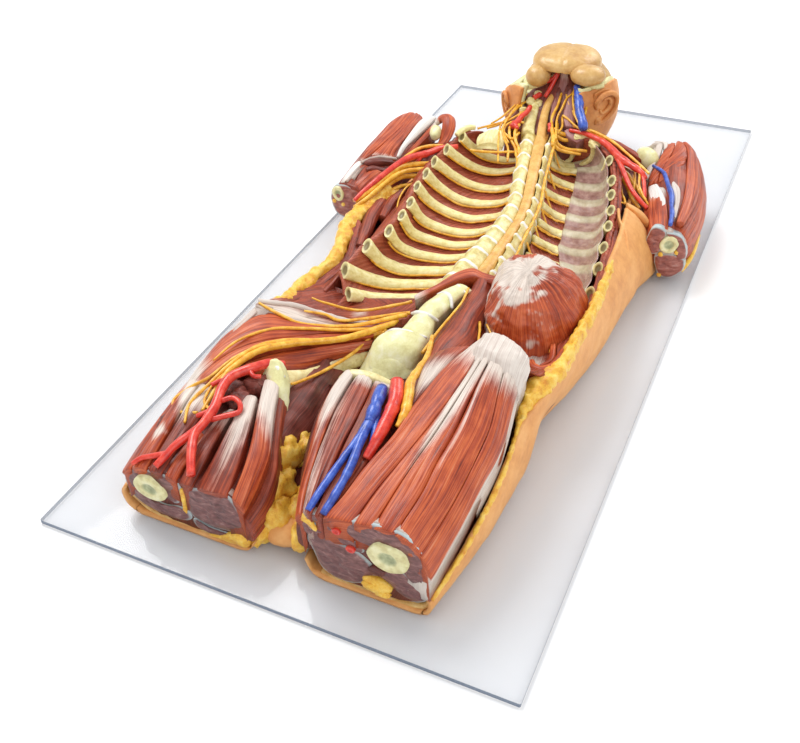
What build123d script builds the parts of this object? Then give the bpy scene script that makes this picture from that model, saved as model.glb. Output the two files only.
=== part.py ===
from build123d import *
import os

os.makedirs("parts", exist_ok=True)

# A dissected human torso, life size, lying on its back on a clear board.
# +X is the body's left, +Y points to the head, +Z is up, and the origin is
# the centre of the board's underside.

# ---- driving dimensions, millimetres ----
BOARD_WIDTH = 500
BOARD_LENGTH = 1104
BOARD_THICKNESS = 5
LIFT_GAP = 0.3
FIT_GAP = 0.3

SKIN_THICKNESS = 4
FAT_THICKNESS = 7
BACK_Z = BOARD_THICKNESS + LIFT_GAP
FAT_Z = BACK_Z + SKIN_THICKNESS
MUSCLE_Z = FAT_Z + FAT_THICKNESS

THIGH_CUT_Y = -508
THIGH_TOP_Y = -330
PELVIS_TOP_Y = -168
NECK_Y = 262
RIM_Z = 97
RIGHT_RIM_Z = 58

LUNG_RADIUS = 62
RIB_THICKNESS = 7
RIB_WIDTH = 13
NERVE_WIDTH = 3
NERVE_DEPTH = 2
RIGHT_LUNG_AXIS_X = -46
LEFT_LUNG_AXIS_TOP = (41, 246)
LEFT_LUNG_AXIS_FOOT = (104, -115)
LUNG_HEAD_Y = 255

# where each rib leaves the spine, and where its cut end is, as Y
RIGHT_RIBS_AT_SPINE = (236, 205, 168, 126, 84, 46, 8, -30, -62, -95, -128)
RIGHT_RIBS_AT_SIDE = (204, 161, 123, 88, 51, 12, -24, -63, -102, -140, -166)
LEFT_RIBS_AT_SPINE = (238, 214, 186, 150, 114, 78, 42, 6, -30, -60)
LEFT_RIBS_AT_SIDE = (250, 228, 200, 155, 116, 80, 42, 2, -38, -78)

COLUMN_HALF_WIDTH = 21
CORD_WIDTH = 9
CANAL_FLOOR_Z = 62
COLUMN_TOP_Z = 80
DISC_HEIGHT = 5
SPINE_PITCH = 29

DIAPHRAGM_CENTRE = (103, -150, 72)
DIAPHRAGM_RADIUS = 68

ARM_RADIUS = 36
RIGHT_ARM = ((-197, 222, 48), (-208, 60, 44))
LEFT_ARM = ((189, 250, 56), (206, 94, 46))
HUMERUS_RADIUS = 11
FEMUR_RADIUS = 15

HEAD_CENTRE = (-10, 356, 84)
HEAD_RADIUS = 78
SKULL_THICKNESS = 6
SCALP_THICKNESS = 6
HEAD_TURN = 14
BRAIN_TOP_Z = 175


def finish_piece(builder, name):
    """Label a finished sub-part and write its STEP file."""
    builder.part.label = name
    export_step(builder.part, f"parts/{name}.step")


def direction(start, end):
    """Unit vector from start to end."""
    return (Vector(*end) - Vector(*start)).normalized()


# ---- board ----
with BuildPart() as base_board:
    with BuildSketch(Plane.XY):
        Rectangle(BOARD_WIDTH, BOARD_LENGTH)
    extrude(amount=BOARD_THICKNESS)
    chamfer(base_board.edges().filter_by(Axis.Z), length=1)
finish_piece(base_board, "base_board")

# ---- plan outlines of the body, one inside another ----
# the outlines run past both cuts, and SHOULDER_TOP_Y and THIGH_CUT_Y trim them
PLAN_FOOT_Y = -560
PLAN_HEAD_Y = 320
SHOULDER_TOP_Y = 286
LEFT_SIDE = (
    (146, PLAN_FOOT_Y), (150, -508), (164, -430), (168, -340), (168, -262), (178, -190), (186, -120),
    (190, -40), (198, 30), (196, 70), (160, 100), (141, 150), (140, 205), (132, 255), (95, 288),
    (56, PLAN_HEAD_Y),
)
RIGHT_SIDE = (
    (-62, PLAN_HEAD_Y), (-100, 285), (-142, 258), (-156, 200), (-158, 140), (-162, 60), (-176, 20),
    (-182, -30), (-172, -80), (-162, -130), (-166, -210), (-176, -300), (-180, -400),
    (-178, -508), (-176, PLAN_FOOT_Y),
)
CROTCH = ((-24, -508), (-2, -470), (20, -508))


def body_plan(inset):
    """Plan outline of the body, moved in from both flanks by inset."""
    right, middle, left = CROTCH
    with BuildSketch() as plan:
        with BuildLine():
            Line((left[0] + inset, PLAN_FOOT_Y), (LEFT_SIDE[0][0] - inset, PLAN_FOOT_Y))
            Spline(*[(x - inset, y) for x, y in LEFT_SIDE])
            Line((LEFT_SIDE[-1][0] - inset, PLAN_HEAD_Y), (RIGHT_SIDE[0][0] + inset, PLAN_HEAD_Y))
            Spline(*[(x + inset, y) for x, y in RIGHT_SIDE])
            Line((RIGHT_SIDE[-1][0] + inset, PLAN_FOOT_Y), (right[0] - inset, PLAN_FOOT_Y))
            Line((right[0] - inset, PLAN_FOOT_Y), (right[0] - inset, right[1]))
            ThreePointArc(
                (right[0] - inset, right[1]), (middle[0], middle[1] + inset), (left[0] + inset, left[1])
            )
            Line((left[0] + inset, left[1]), (left[0] + inset, PLAN_FOOT_Y))
        make_face()
    return plan


skin_plan = body_plan(0)
fat_plan = body_plan(SKIN_THICKNESS)
muscle_plan = body_plan(SKIN_THICKNESS + FAT_THICKNESS)
with BuildSketch() as torso_span:
    Polygon(
        (-250, THIGH_CUT_Y), (250, THIGH_CUT_Y), (250, SHOULDER_TOP_Y), (-250, SHOULDER_TOP_Y),
        align=None,
    )

# everything above the sloping rim, where the front of the body was cut away
with BuildPart() as above_rim:
    with BuildSketch(Plane.XZ.offset(-600)):
        Polygon(
            (-260, 36), (-120, RIGHT_RIM_Z), (0, RIM_Z), (260, RIM_Z), (260, 260), (-260, 260),
            align=None,
        )
    extrude(amount=1200)
# the gap between the thighs, where skin and fat stay low
with BuildPart() as between_thighs:
    with BuildSketch(Plane.XY.offset(32)):
        Polygon((-60, -600), (60, -600), (60, -400), (-60, -400), align=None)
    extrude(amount=200)

with BuildPart() as torso_skin:
    with BuildSketch(Plane.XY.offset(BACK_Z)):
        add(skin_plan.sketch)
        add(torso_span.sketch, mode=Mode.INTERSECT)
    extrude(amount=RIM_Z)
    with BuildSketch(Plane.XY.offset(FAT_Z)):
        add(fat_plan.sketch)
    extrude(amount=RIM_Z, mode=Mode.SUBTRACT)
    add(above_rim.part, mode=Mode.SUBTRACT)
    add(between_thighs.part, mode=Mode.SUBTRACT)

with BuildPart() as torso_fat:
    with BuildSketch(Plane.XY.offset(FAT_Z)):
        add(fat_plan.sketch)
        add(torso_span.sketch, mode=Mode.INTERSECT)
    extrude(amount=RIM_Z)
    with BuildSketch(Plane.XY.offset(MUSCLE_Z)):
        add(muscle_plan.sketch)
    extrude(amount=RIM_Z, mode=Mode.SUBTRACT)
    add(above_rim.part, mode=Mode.SUBTRACT)
    add(between_thighs.part, mode=Mode.SUBTRACT)

# ---- lung hollows, as cutters ----
left_axis = direction((*LEFT_LUNG_AXIS_TOP, RIM_Z), (*LEFT_LUNG_AXIS_FOOT, RIM_Z))
right_lung_plane = Plane(
    origin=(RIGHT_LUNG_AXIS_X, LUNG_HEAD_Y, RIM_Z), x_dir=(1, 0, 0), z_dir=(0, -1, 0)
)
left_lung_plane = Plane(
    origin=(*LEFT_LUNG_AXIS_TOP, RIM_Z), x_dir=(-left_axis.Y, left_axis.X, 0), z_dir=left_axis
)
RIGHT_LUNG_LENGTH = LUNG_HEAD_Y - PELVIS_TOP_Y
LEFT_LUNG_LENGTH = 350


# ---- room for the head ----
with BuildPart() as head_ball:
    with Locations(HEAD_CENTRE):
        Sphere(HEAD_RADIUS + FIT_GAP)

# ---- vertebral column ----
SPINE_ROUTE = ((-14, 300), (3, 243), (25, 120), (32, 30), (32, -60), (31, -129))
LUMBAR_ROUTE = ((31, -129), (18, -190), (0, -252))


def spine_strip(route, half_width):
    """Plan polygon that follows the spine at a constant half width."""
    left = [(x + half_width, y) for x, y in route]
    right = [(x - half_width, y) for x, y in reversed(route)]
    return left + right


with BuildPart() as thoracic_block:
    with BuildSketch(Plane.XY.offset(MUSCLE_Z)):
        Polygon(*spine_strip(SPINE_ROUTE, COLUMN_HALF_WIDTH), align=None)
    extrude(amount=COLUMN_TOP_Z - MUSCLE_Z)
    add(head_ball.part, mode=Mode.SUBTRACT)
with BuildPart() as canal:
    with BuildSketch(Plane.XY.offset(CANAL_FLOOR_Z)):
        Polygon(*spine_strip(SPINE_ROUTE, CORD_WIDTH / 2), align=None)
    extrude(amount=COLUMN_TOP_Z)
FIRST_DISC_Y = 286
DISC_COUNT = 15
with BuildPart() as disc_slabs:
    with BuildSketch(Plane.XY.offset(MUSCLE_Z)):
        for number in range(DISC_COUNT):
            with Locations((10, FIRST_DISC_Y - number * SPINE_PITCH)):
                Rectangle(160, DISC_HEIGHT)
    extrude(amount=COLUMN_TOP_Z)

with BuildPart() as thoracic_vertebrae:
    add(thoracic_block.part)
    add(canal.part, mode=Mode.SUBTRACT)
    add(disc_slabs.part, mode=Mode.SUBTRACT)
finish_piece(thoracic_vertebrae, "thoracic_vertebrae")

with BuildPart() as intervertebral_discs:
    add(thoracic_block.part)
    add(canal.part, mode=Mode.SUBTRACT)
    add(disc_slabs.part, mode=Mode.INTERSECT)
finish_piece(intervertebral_discs, "intervertebral_discs")

CORD_DEPTH = 9
with BuildPart() as spinal_cord:
    with BuildSketch(Plane.XY.offset(CANAL_FLOOR_Z)):
        Polygon(*spine_strip(SPINE_ROUTE, CORD_WIDTH / 2), align=None)
    extrude(amount=CORD_DEPTH)
    add(head_ball.part, mode=Mode.SUBTRACT)
finish_piece(spinal_cord, "spinal_cord")

LUMBAR_HALF_WIDTH = 26
with BuildPart() as lumbar_vertebrae:
    with BuildSketch(Plane.XY.offset(MUSCLE_Z)):
        Polygon(*spine_strip(LUMBAR_ROUTE, LUMBAR_HALF_WIDTH), align=None)
    extrude(amount=RIM_Z - MUSCLE_Z)
finish_piece(lumbar_vertebrae, "lumbar_vertebrae")

SACRUM_TOP_Y = -252
with BuildPart() as sacrum:
    with BuildSketch(Plane.YZ.offset(-LUMBAR_HALF_WIDTH)):
        Polygon(
            (SACRUM_TOP_Y, MUSCLE_Z), (SACRUM_TOP_Y, 88), (-282, 66), (THIGH_TOP_Y, 34),
            (THIGH_TOP_Y, MUSCLE_Z),
            align=None,
        )
    extrude(amount=2 * LUMBAR_HALF_WIDTH)
finish_piece(sacrum, "sacrum")

# ---- ribs, intercostal muscles and nerves ----


def lung_wall(plane, radius, thickness, length):
    """Open half pipe round a lung hollow, below the rim."""
    with BuildPart() as wall:
        with BuildSketch(plane):
            Circle(radius + thickness)
            Circle(radius, mode=Mode.SUBTRACT)
        extrude(amount=length)
        with BuildSketch(Plane.XY.offset(RIM_Z)):
            Rectangle(800, 1400)
        extrude(amount=300, mode=Mode.SUBTRACT)
        with BuildSketch(Plane.XY):
            Polygon(*spine_strip(SPINE_ROUTE, COLUMN_HALF_WIDTH), align=None)
            Polygon(*spine_strip(LUMBAR_ROUTE, LUMBAR_HALF_WIDTH), align=None)
        extrude(amount=300, mode=Mode.SUBTRACT)
    return wall


right_wall = lung_wall(right_lung_plane, LUNG_RADIUS, RIB_THICKNESS, RIGHT_LUNG_LENGTH)
left_wall = lung_wall(left_lung_plane, LUNG_RADIUS, RIB_THICKNESS, LEFT_LUNG_LENGTH)


# the far side of the spine from each lung belongs to the other lung
def side_of_spine(far_x):
    """Tall block from the middle of the spine out to far_x."""
    with BuildPart() as side:
        with BuildSketch(Plane.XY):
            Polygon(*SPINE_ROUTE, (31, -400), (far_x, -400), (far_x, 400), (-14, 400), align=None)
        extrude(amount=300)
    return side


left_of_spine = side_of_spine(400)
right_of_spine = side_of_spine(-400)

# the diaphragm's dome covers the lower left ribs
with BuildPart() as dome_clearance:
    with Locations(DIAPHRAGM_CENTRE):
        Sphere(DIAPHRAGM_RADIUS + FIT_GAP)


def rib_band(spine_x, spine_y, side_x, side_y, width):
    """Slanted plan strip that one rib, or its nerve, is cut from."""
    with BuildSketch(Plane.XY) as band:
        Polygon(
            (side_x, side_y - width / 2), (spine_x, spine_y - width / 2),
            (spine_x, spine_y + width / 2), (side_x, side_y + width / 2),
            align=None,
        )
    return band.sketch


right_bands = [
    (28, at_spine, -150, at_side - 0.3 * (at_spine - at_side), RIB_WIDTH)
    for at_spine, at_side in zip(RIGHT_RIBS_AT_SPINE, RIGHT_RIBS_AT_SIDE)
]
left_bands = [
    (12, at_spine, 200, at_side + 0.3 * (at_side - at_spine), RIB_WIDTH)
    for at_spine, at_side in zip(LEFT_RIBS_AT_SPINE, LEFT_RIBS_AT_SIDE)
]


def make_rib(wall, near_side, band, name):
    """One rib: the part of the lung's wall inside its slanted strip."""
    with BuildPart() as rib:
        with BuildSketch(Plane.XY):
            add(rib_band(*band))
        extrude(amount=RIM_Z)
        add(wall.part, mode=Mode.INTERSECT)
        add(near_side.part, mode=Mode.INTERSECT)
        add(dome_clearance.part, mode=Mode.SUBTRACT)
    finish_piece(rib, name)
    return rib


right_ribs = [
    make_rib(right_wall, right_of_spine, band, f"rib_right_{number}")
    for number, band in enumerate(right_bands, start=1)
]
left_ribs = [
    make_rib(left_wall, left_of_spine, band, f"rib_left_{number}")
    for number, band in enumerate(left_bands, start=1)
]


def make_intercostals(wall, near_side, ribs, name):
    """The lung's wall between the ribs."""
    with BuildPart() as muscles:
        add(wall.part)
        add(near_side.part, mode=Mode.INTERSECT)
        add(dome_clearance.part, mode=Mode.SUBTRACT)
        for rib in ribs:
            add(rib.part, mode=Mode.SUBTRACT)
    finish_piece(muscles, name)


make_intercostals(right_wall, right_of_spine, right_ribs, "intercostal_muscles_right")
make_intercostals(left_wall, left_of_spine, left_ribs, "intercostal_muscles_left")


def nerve_arcs(plane, near_side, bands):
    """Thin half hoops inside a lung's wall, one along the lower edge of each rib."""
    outer_radius = LUNG_RADIUS - FIT_GAP
    with BuildPart() as lining:
        with BuildSketch(plane):
            Circle(outer_radius)
            Circle(outer_radius - NERVE_DEPTH, mode=Mode.SUBTRACT)
        extrude(amount=LEFT_LUNG_LENGTH)
    with BuildPart() as nerves:
        for spine_x, spine_y, side_x, side_y, rib_width in bands:
            shift = rib_width / 2 + NERVE_WIDTH
            with BuildSketch(Plane.XY):
                add(rib_band(spine_x, spine_y - shift, side_x, side_y - shift, NERVE_WIDTH))
            extrude(amount=RIM_Z - 6)
        add(lining.part, mode=Mode.INTERSECT)
        add(near_side.part, mode=Mode.INTERSECT)
        add(dome_clearance.part, mode=Mode.SUBTRACT)
        with BuildSketch(Plane.XY):
            Polygon(*spine_strip(SPINE_ROUTE, COLUMN_HALF_WIDTH + FIT_GAP), align=None)
            Polygon(*spine_strip(LUMBAR_ROUTE, LUMBAR_HALF_WIDTH + FIT_GAP), align=None)
        extrude(amount=300, mode=Mode.SUBTRACT)
    return nerves


right_nerves = nerve_arcs(right_lung_plane, right_of_spine, right_bands[:-1])
left_nerves = nerve_arcs(left_lung_plane, left_of_spine, left_bands)
with BuildPart() as intercostal_nerves:
    add(right_nerves.part)
    add(left_nerves.part)
finish_piece(intercostal_nerves, "intercostal_nerves")

# ---- head ----
SCALP_RIM_Z = 108
SKULL_RIM_Z = 120
EAR_RADIUS = 19
EAR_THICKNESS = 9
EAR_REACH = HEAD_RADIUS - 2
with BuildPart() as head_skin:
    with Locations(Location(HEAD_CENTRE, (0, 0, HEAD_TURN))):
        Sphere(HEAD_RADIUS)
        with Locations((-EAR_REACH, -4, 6), (EAR_REACH, -4, 6)):
            Cylinder(EAR_RADIUS, EAR_THICKNESS, rotation=(0, 90, 0))
    with Locations(HEAD_CENTRE):
        Sphere(HEAD_RADIUS - SCALP_THICKNESS, mode=Mode.SUBTRACT)
    with BuildSketch(Plane.XY.offset(SCALP_RIM_Z)):
        with Locations(HEAD_CENTRE[:2]):
            Rectangle(300, 300)
    extrude(amount=200, mode=Mode.SUBTRACT)
finish_piece(head_skin, "head_skin")

SKULL_RADIUS = HEAD_RADIUS - SCALP_THICKNESS - FIT_GAP
with BuildPart() as skull:
    with Locations(HEAD_CENTRE):
        Sphere(SKULL_RADIUS)
        Sphere(SKULL_RADIUS - SKULL_THICKNESS, mode=Mode.SUBTRACT)
    with BuildSketch(Plane.XY.offset(SKULL_RIM_Z)):
        with Locations(HEAD_CENTRE[:2]):
            Rectangle(300, 300)
    extrude(amount=200, mode=Mode.SUBTRACT)
finish_piece(skull, "skull")

BRAIN_RADIUS = 50
BRAIN_HALF_HEIGHT = 76
with BuildPart() as brain:
    Sphere(BRAIN_RADIUS)
    scale(by=(1, 1, BRAIN_HALF_HEIGHT / BRAIN_RADIUS))
    brain_place = Location((HEAD_CENTRE[0], HEAD_CENTRE[1] - 4, BRAIN_TOP_Z - BRAIN_HALF_HEIGHT))
brain.part = brain.part.moved(brain_place)
finish_piece(brain, "brain")

# ---- diaphragm, pleura ----
with BuildPart() as diaphragm:
    with Locations(DIAPHRAGM_CENTRE):
        Sphere(DIAPHRAGM_RADIUS)
    with BuildSketch(Plane.XY.offset(DIAPHRAGM_CENTRE[2])):
        Rectangle(600, 900)
    extrude(amount=-300, mode=Mode.SUBTRACT)
    with BuildSketch(Plane.XY):
        Polygon(*spine_strip(SPINE_ROUTE, COLUMN_HALF_WIDTH), align=None)
        Polygon(*spine_strip(LUMBAR_ROUTE, LUMBAR_HALF_WIDTH), align=None)
    extrude(amount=RIM_Z, mode=Mode.SUBTRACT)
finish_piece(diaphragm, "diaphragm")

PLEURA_THICKNESS = 1
with BuildPart() as pleura_left:
    with BuildSketch(left_lung_plane):
        Circle(LUNG_RADIUS - FIT_GAP)
        Circle(LUNG_RADIUS - FIT_GAP - PLEURA_THICKNESS, mode=Mode.SUBTRACT)
    extrude(amount=LEFT_LUNG_LENGTH)
    with BuildSketch(Plane.XY):
        Polygon((60, 200), (84, 60), (92, -90), (220, -90), (220, 200), align=None)
    extrude(amount=RIM_Z - 8, mode=Mode.INTERSECT)
    add(dome_clearance.part, mode=Mode.SUBTRACT)
    add(left_nerves.part, mode=Mode.SUBTRACT)
finish_piece(pleura_left, "pleura_left")

# ---- arms ----


def arm_length(arm):
    """Length of an arm from the shoulder to its cut end."""
    return (Vector(*arm[1]) - Vector(*arm[0])).length


def make_arm(arm, name):
    """Upper arm with a rounded shoulder, and a bore for its bone."""
    shoulder, cut = arm
    with BuildPart() as muscles:
        with Locations(shoulder):
            Sphere(ARM_RADIUS)
        with BuildSketch(Plane(origin=shoulder, z_dir=direction(shoulder, cut))):
            Circle(ARM_RADIUS)
        extrude(amount=arm_length(arm))
        with BuildSketch(Plane(origin=shoulder, z_dir=direction(shoulder, cut))):
            Circle(HUMERUS_RADIUS + FIT_GAP)
        extrude(amount=arm_length(arm), mode=Mode.SUBTRACT)
        with BuildSketch(Plane.XY.offset(BACK_Z)):
            Rectangle(600, 900)
        extrude(amount=-100, mode=Mode.SUBTRACT)
    finish_piece(muscles, f"arm_muscles_{name}")
    with BuildPart() as humerus:
        with BuildSketch(Plane(origin=shoulder, z_dir=direction(shoulder, cut)).offset(FIT_GAP)):
            Circle(HUMERUS_RADIUS)
            Circle(HUMERUS_RADIUS / 2, mode=Mode.SUBTRACT)
        extrude(amount=arm_length(arm) - FIT_GAP)
    finish_piece(humerus, f"humerus_{name}")


make_arm(RIGHT_ARM, "right")
make_arm(LEFT_ARM, "left")

with BuildPart() as arm_clearance:
    for shoulder, cut in (RIGHT_ARM, LEFT_ARM):
        with Locations(shoulder):
            Sphere(ARM_RADIUS + FIT_GAP)
        with BuildSketch(Plane(origin=shoulder, z_dir=direction(shoulder, cut))):
            Circle(ARM_RADIUS + FIT_GAP)
        extrude(amount=200)

# ---- skin and fat, cut clear of the arms and the head ----
with BuildPart() as finished_skin:
    add(torso_skin.part)
    add(arm_clearance.part, mode=Mode.SUBTRACT)
    add(head_ball.part, mode=Mode.SUBTRACT)
finish_piece(finished_skin, "torso_skin")

with BuildPart() as finished_fat:
    add(torso_fat.part)
    add(arm_clearance.part, mode=Mode.SUBTRACT)
    add(head_ball.part, mode=Mode.SUBTRACT)
finish_piece(finished_fat, "torso_fat")

# ---- neck and back muscles ----
with BuildPart() as column_prism:
    with BuildSketch(Plane.XY):
        Polygon(*spine_strip(SPINE_ROUTE, COLUMN_HALF_WIDTH), align=None)
        Polygon(*spine_strip(LUMBAR_ROUTE, LUMBAR_HALF_WIDTH), align=None)
        Polygon((-26, -252), (26, -252), (26, THIGH_TOP_Y), (-26, THIGH_TOP_Y), align=None)
    extrude(amount=300)

NECK_TOP_Z = 84
with BuildPart() as neck_muscles:
    with BuildSketch(Plane.XY.offset(MUSCLE_Z)):
        Polygon((-66, NECK_Y), (62, NECK_Y), (50, 322), (-64, 322), align=None)
    extrude(amount=NECK_TOP_Z - MUSCLE_Z)
    add(head_ball.part, mode=Mode.SUBTRACT)
    add(column_prism.part, mode=Mode.SUBTRACT)
    add(torso_fat.part, mode=Mode.SUBTRACT)
    with BuildSketch(left_lung_plane.offset(-30)):
        Circle(LUNG_RADIUS + RIB_THICKNESS + FIT_GAP)
    extrude(amount=60, mode=Mode.SUBTRACT)
finish_piece(neck_muscles, "neck_muscles")

with BuildPart() as back_muscles:
    with BuildSketch(Plane.XY.offset(MUSCLE_Z)):
        add(muscle_plan.sketch)
        Polygon(
            (-250, PELVIS_TOP_Y), (250, PELVIS_TOP_Y), (250, NECK_Y), (-250, NECK_Y),
            align=None, mode=Mode.INTERSECT,
        )
    extrude(amount=RIM_Z - MUSCLE_Z)
    with BuildSketch(Plane.XZ.offset(-600)):
        Polygon((-260, 36), (-170, 50), (-118, RIM_Z), (-118, 200), (-260, 200), align=None)
    extrude(amount=1200, mode=Mode.SUBTRACT)
    for lung_plane in (right_lung_plane, left_lung_plane):
        with BuildSketch(lung_plane):
            Circle(LUNG_RADIUS + RIB_THICKNESS + FIT_GAP)
        extrude(amount=600, mode=Mode.SUBTRACT)
    add(dome_clearance.part, mode=Mode.SUBTRACT)
    add(column_prism.part, mode=Mode.SUBTRACT)
    add(arm_clearance.part, mode=Mode.SUBTRACT)
finish_piece(back_muscles, "back_muscles")

# ---- pelvis ----
ILIUM_SPINE_RIGHT_Z = 112
ILIUM_SPINE_LEFT_Z = 140


def pelvis_block(profile, name, clearances):
    """Prism across the pelvis inside the fat layer, with a profile given as X and Z."""
    with BuildPart() as block:
        with BuildSketch(Plane.XZ.offset(-PELVIS_TOP_Y)):
            Polygon(*profile, align=None)
        extrude(amount=PELVIS_TOP_Y - THIGH_TOP_Y)
        with BuildSketch(Plane.XY.offset(MUSCLE_Z)):
            add(muscle_plan.sketch)
        extrude(amount=200, mode=Mode.INTERSECT)
        for clearance in clearances:
            add(clearance.part, mode=Mode.SUBTRACT)
    finish_piece(block, name)


pelvis_block(
    ((-200, 10), (-200, 60), (-162, ILIUM_SPINE_RIGHT_Z), (-20, 78), (-20, 10)),
    "iliacus_right",
    (column_prism,),
)
PSOAS_LEFT_X = 76
pelvis_block(
    ((20, 10), (20, 82), (34, RIM_Z), (60, RIM_Z), (PSOAS_LEFT_X, 84), (PSOAS_LEFT_X, 10)),
    "psoas_left",
    (column_prism, dome_clearance),
)
pelvis_block(
    ((PSOAS_LEFT_X, 10), (PSOAS_LEFT_X, 92), (180, 92), (180, 10)),
    "iliacus_left",
    (column_prism, dome_clearance),
)

# the left hip bone's front spine stands on the iliacus
HIP_CREST_Y = -245
with BuildPart() as hip_bone_left:
    with BuildSketch(Plane.YZ.offset(88)):
        Polygon(
            (HIP_CREST_Y, 92), (-274, ILIUM_SPINE_LEFT_Z), (-300, ILIUM_SPINE_LEFT_Z), (THIGH_TOP_Y, 112),
            (THIGH_TOP_Y, 92), align=None,
        )
    extrude(amount=46)
finish_piece(hip_bone_left, "hip_bone_left")

# ---- thighs ----
THIGH_LENGTH = THIGH_TOP_Y - THIGH_CUT_Y
LEFT_FEMUR = (119, 80)
RIGHT_FEMUR = (-137, 48)


def thigh_block(profile, femur, name):
    """Part of a thigh from the hip to the cut, clear of the femur, its profile given as X and Z."""
    with BuildPart() as block:
        with BuildSketch(Plane.XZ.offset(-THIGH_TOP_Y)):
            Polygon(*profile, align=None)
            with Locations(femur):
                Circle(FEMUR_RADIUS + FIT_GAP, mode=Mode.SUBTRACT)
        extrude(amount=THIGH_LENGTH)
        with BuildSketch(Plane.XY.offset(MUSCLE_Z)):
            add(muscle_plan.sketch)
        extrude(amount=200, mode=Mode.INTERSECT)
    finish_piece(block, name)


def make_femur(femur, name):
    """Cut thigh bone with its marrow hollow."""
    with BuildPart() as bone:
        with BuildSketch(Plane.XZ.offset(-THIGH_TOP_Y)):
            with Locations(femur):
                Circle(FEMUR_RADIUS)
                Circle(FEMUR_RADIUS / 2, mode=Mode.SUBTRACT)
        extrude(amount=THIGH_LENGTH)
    finish_piece(bone, name)


thigh_block(
    ((60, 20), (60, 112), (100, 124), (140, 128), (158, 112), (170, 80), (170, 10), (60, 10)),
    LEFT_FEMUR,
    "thigh_muscles_left",
)
thigh_block(((10, 10), (22, 70), (36, 98), (60, 112), (60, 10)), LEFT_FEMUR, "adductors_left")
thigh_block(
    ((-100, 10), (-100, 92), (-130, 90), (-160, 78), (-180, 50), (-180, 10)),
    RIGHT_FEMUR,
    "thigh_muscles_right",
)
thigh_block(
    ((-100, 10), (-100, 92), (-56, 92), (-44, 82), (-34, 60), (-26, 10)),
    RIGHT_FEMUR,
    "adductors_right",
)
make_femur(LEFT_FEMUR, "femur_left")
make_femur(RIGHT_FEMUR, "femur_right")

# cut pubic bone, standing on the right adductors
PUBIS_BASE_Z = 92
with BuildPart() as hip_bone_right:
    with BuildSketch(Plane.YZ.offset(-82)):
        Polygon(
            (THIGH_TOP_Y - 4, PUBIS_BASE_Z), (THIGH_TOP_Y - 4, 98), (-352, 112), (-376, 110),
            (-400, 96), (-400, PUBIS_BASE_Z),
            align=None,
        )
    extrude(amount=24)
finish_piece(hip_bone_right, "hip_bone_right")

# ---- vessels and nerves that lie on the muscles ----


def tube(points, radius, bend=12):
    """Round cord along straight runs joined by arcs."""
    with BuildPart() as cord:
        with BuildLine() as route:
            FilletPolyline(*points, radius=bend)
        with BuildSketch(Plane(origin=route.line @ 0, z_dir=route.line % 0)):
            Circle(radius)
        sweep()
    return cord


def tube_group(routes, name):
    """Several cords of one kind in one node: each route is its points and its radius."""
    with BuildPart() as group:
        for points, radius in routes:
            add(tube(points, radius).part)
    finish_piece(group, name)


tube_group(
    [
        (((-90, -334, 97), (-104, -385, 97), (-111, -413, 97), (-103, -445, 97), (-100, -480, 97),
          (-84, -506, 97)), 4.5),
    ],
    "femoral_artery_right",
)
tube_group(
    [(((54, -332, 117), (58, -371, 117), (66, -408, 119), (72, -440, 121)), 4)],
    "femoral_artery_left",
)
tube_group(
    [(((40, -334, 109), (40, -405, 108), (43, -450, 108), (38, -506, 106)), 5)],
    "femoral_vein_left",
)
tube_group(
    [
        (((-30, -235, 86), (-60, -285, 93), (-87, -314, 100), (-106, -333, 104), (-118, -380, 98),
          (-119, -435, 96)), 3.5),
        (((-30, -200, 88), (-60, -245, 92), (-92, -279, 100), (-147, -282, 113)), 1.5),
    ],
    "lumbosacral_nerves",
)
tube_group(
    [
        (((-113, 200, 104), (-124, 150, 102), (-142, 100, 88), (-152, 60, 76)), 4),
        (((60, 252, 102), (98, 236, 102), (129, 211, 102), (151, 188, 102), (158, 140, 102)), 4),
    ],
    "axillary_arteries",
)
tube_group(
    [
        (((-40, 248, 90), (-80, 238, 93), (-118, 228, 103), (-134, 185, 101), (-148, 130, 92),
          (-155, 90, 84)), 2.5),
        (((50, 262, 101), (98, 250, 101), (136, 222, 101), (160, 190, 101), (168, 140, 101)), 2.5),
    ],
    "brachial_plexus",
)
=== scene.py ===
import math

import bpy
import numpy as np
from mathutils import Matrix, Vector


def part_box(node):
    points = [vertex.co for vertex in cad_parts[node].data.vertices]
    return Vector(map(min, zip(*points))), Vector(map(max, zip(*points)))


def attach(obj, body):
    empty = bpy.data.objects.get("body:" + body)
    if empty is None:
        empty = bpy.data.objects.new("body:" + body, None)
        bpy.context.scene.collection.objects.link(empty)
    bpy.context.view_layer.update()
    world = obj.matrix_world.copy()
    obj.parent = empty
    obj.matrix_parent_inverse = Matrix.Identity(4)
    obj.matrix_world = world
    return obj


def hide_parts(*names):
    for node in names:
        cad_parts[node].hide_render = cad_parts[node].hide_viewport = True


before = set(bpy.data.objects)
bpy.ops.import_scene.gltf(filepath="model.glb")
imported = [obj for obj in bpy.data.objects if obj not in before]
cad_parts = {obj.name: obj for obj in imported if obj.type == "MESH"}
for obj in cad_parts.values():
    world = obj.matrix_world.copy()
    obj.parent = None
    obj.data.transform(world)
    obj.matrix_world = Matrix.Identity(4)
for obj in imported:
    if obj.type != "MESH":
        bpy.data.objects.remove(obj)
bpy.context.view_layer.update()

# A dissected human torso on a clear board. Lengths in this script are millimetres and are
# turned into metres when a mesh is made: +X is the body's left, +Y the head, +Z up.
MM = 0.001
BACK_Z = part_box("torso_skin")[0].z / MM
THIGH_CUT_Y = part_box("thigh_muscles_left")[0].y / MM


# ---------------------------------------------------------------- noise and curves


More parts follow.
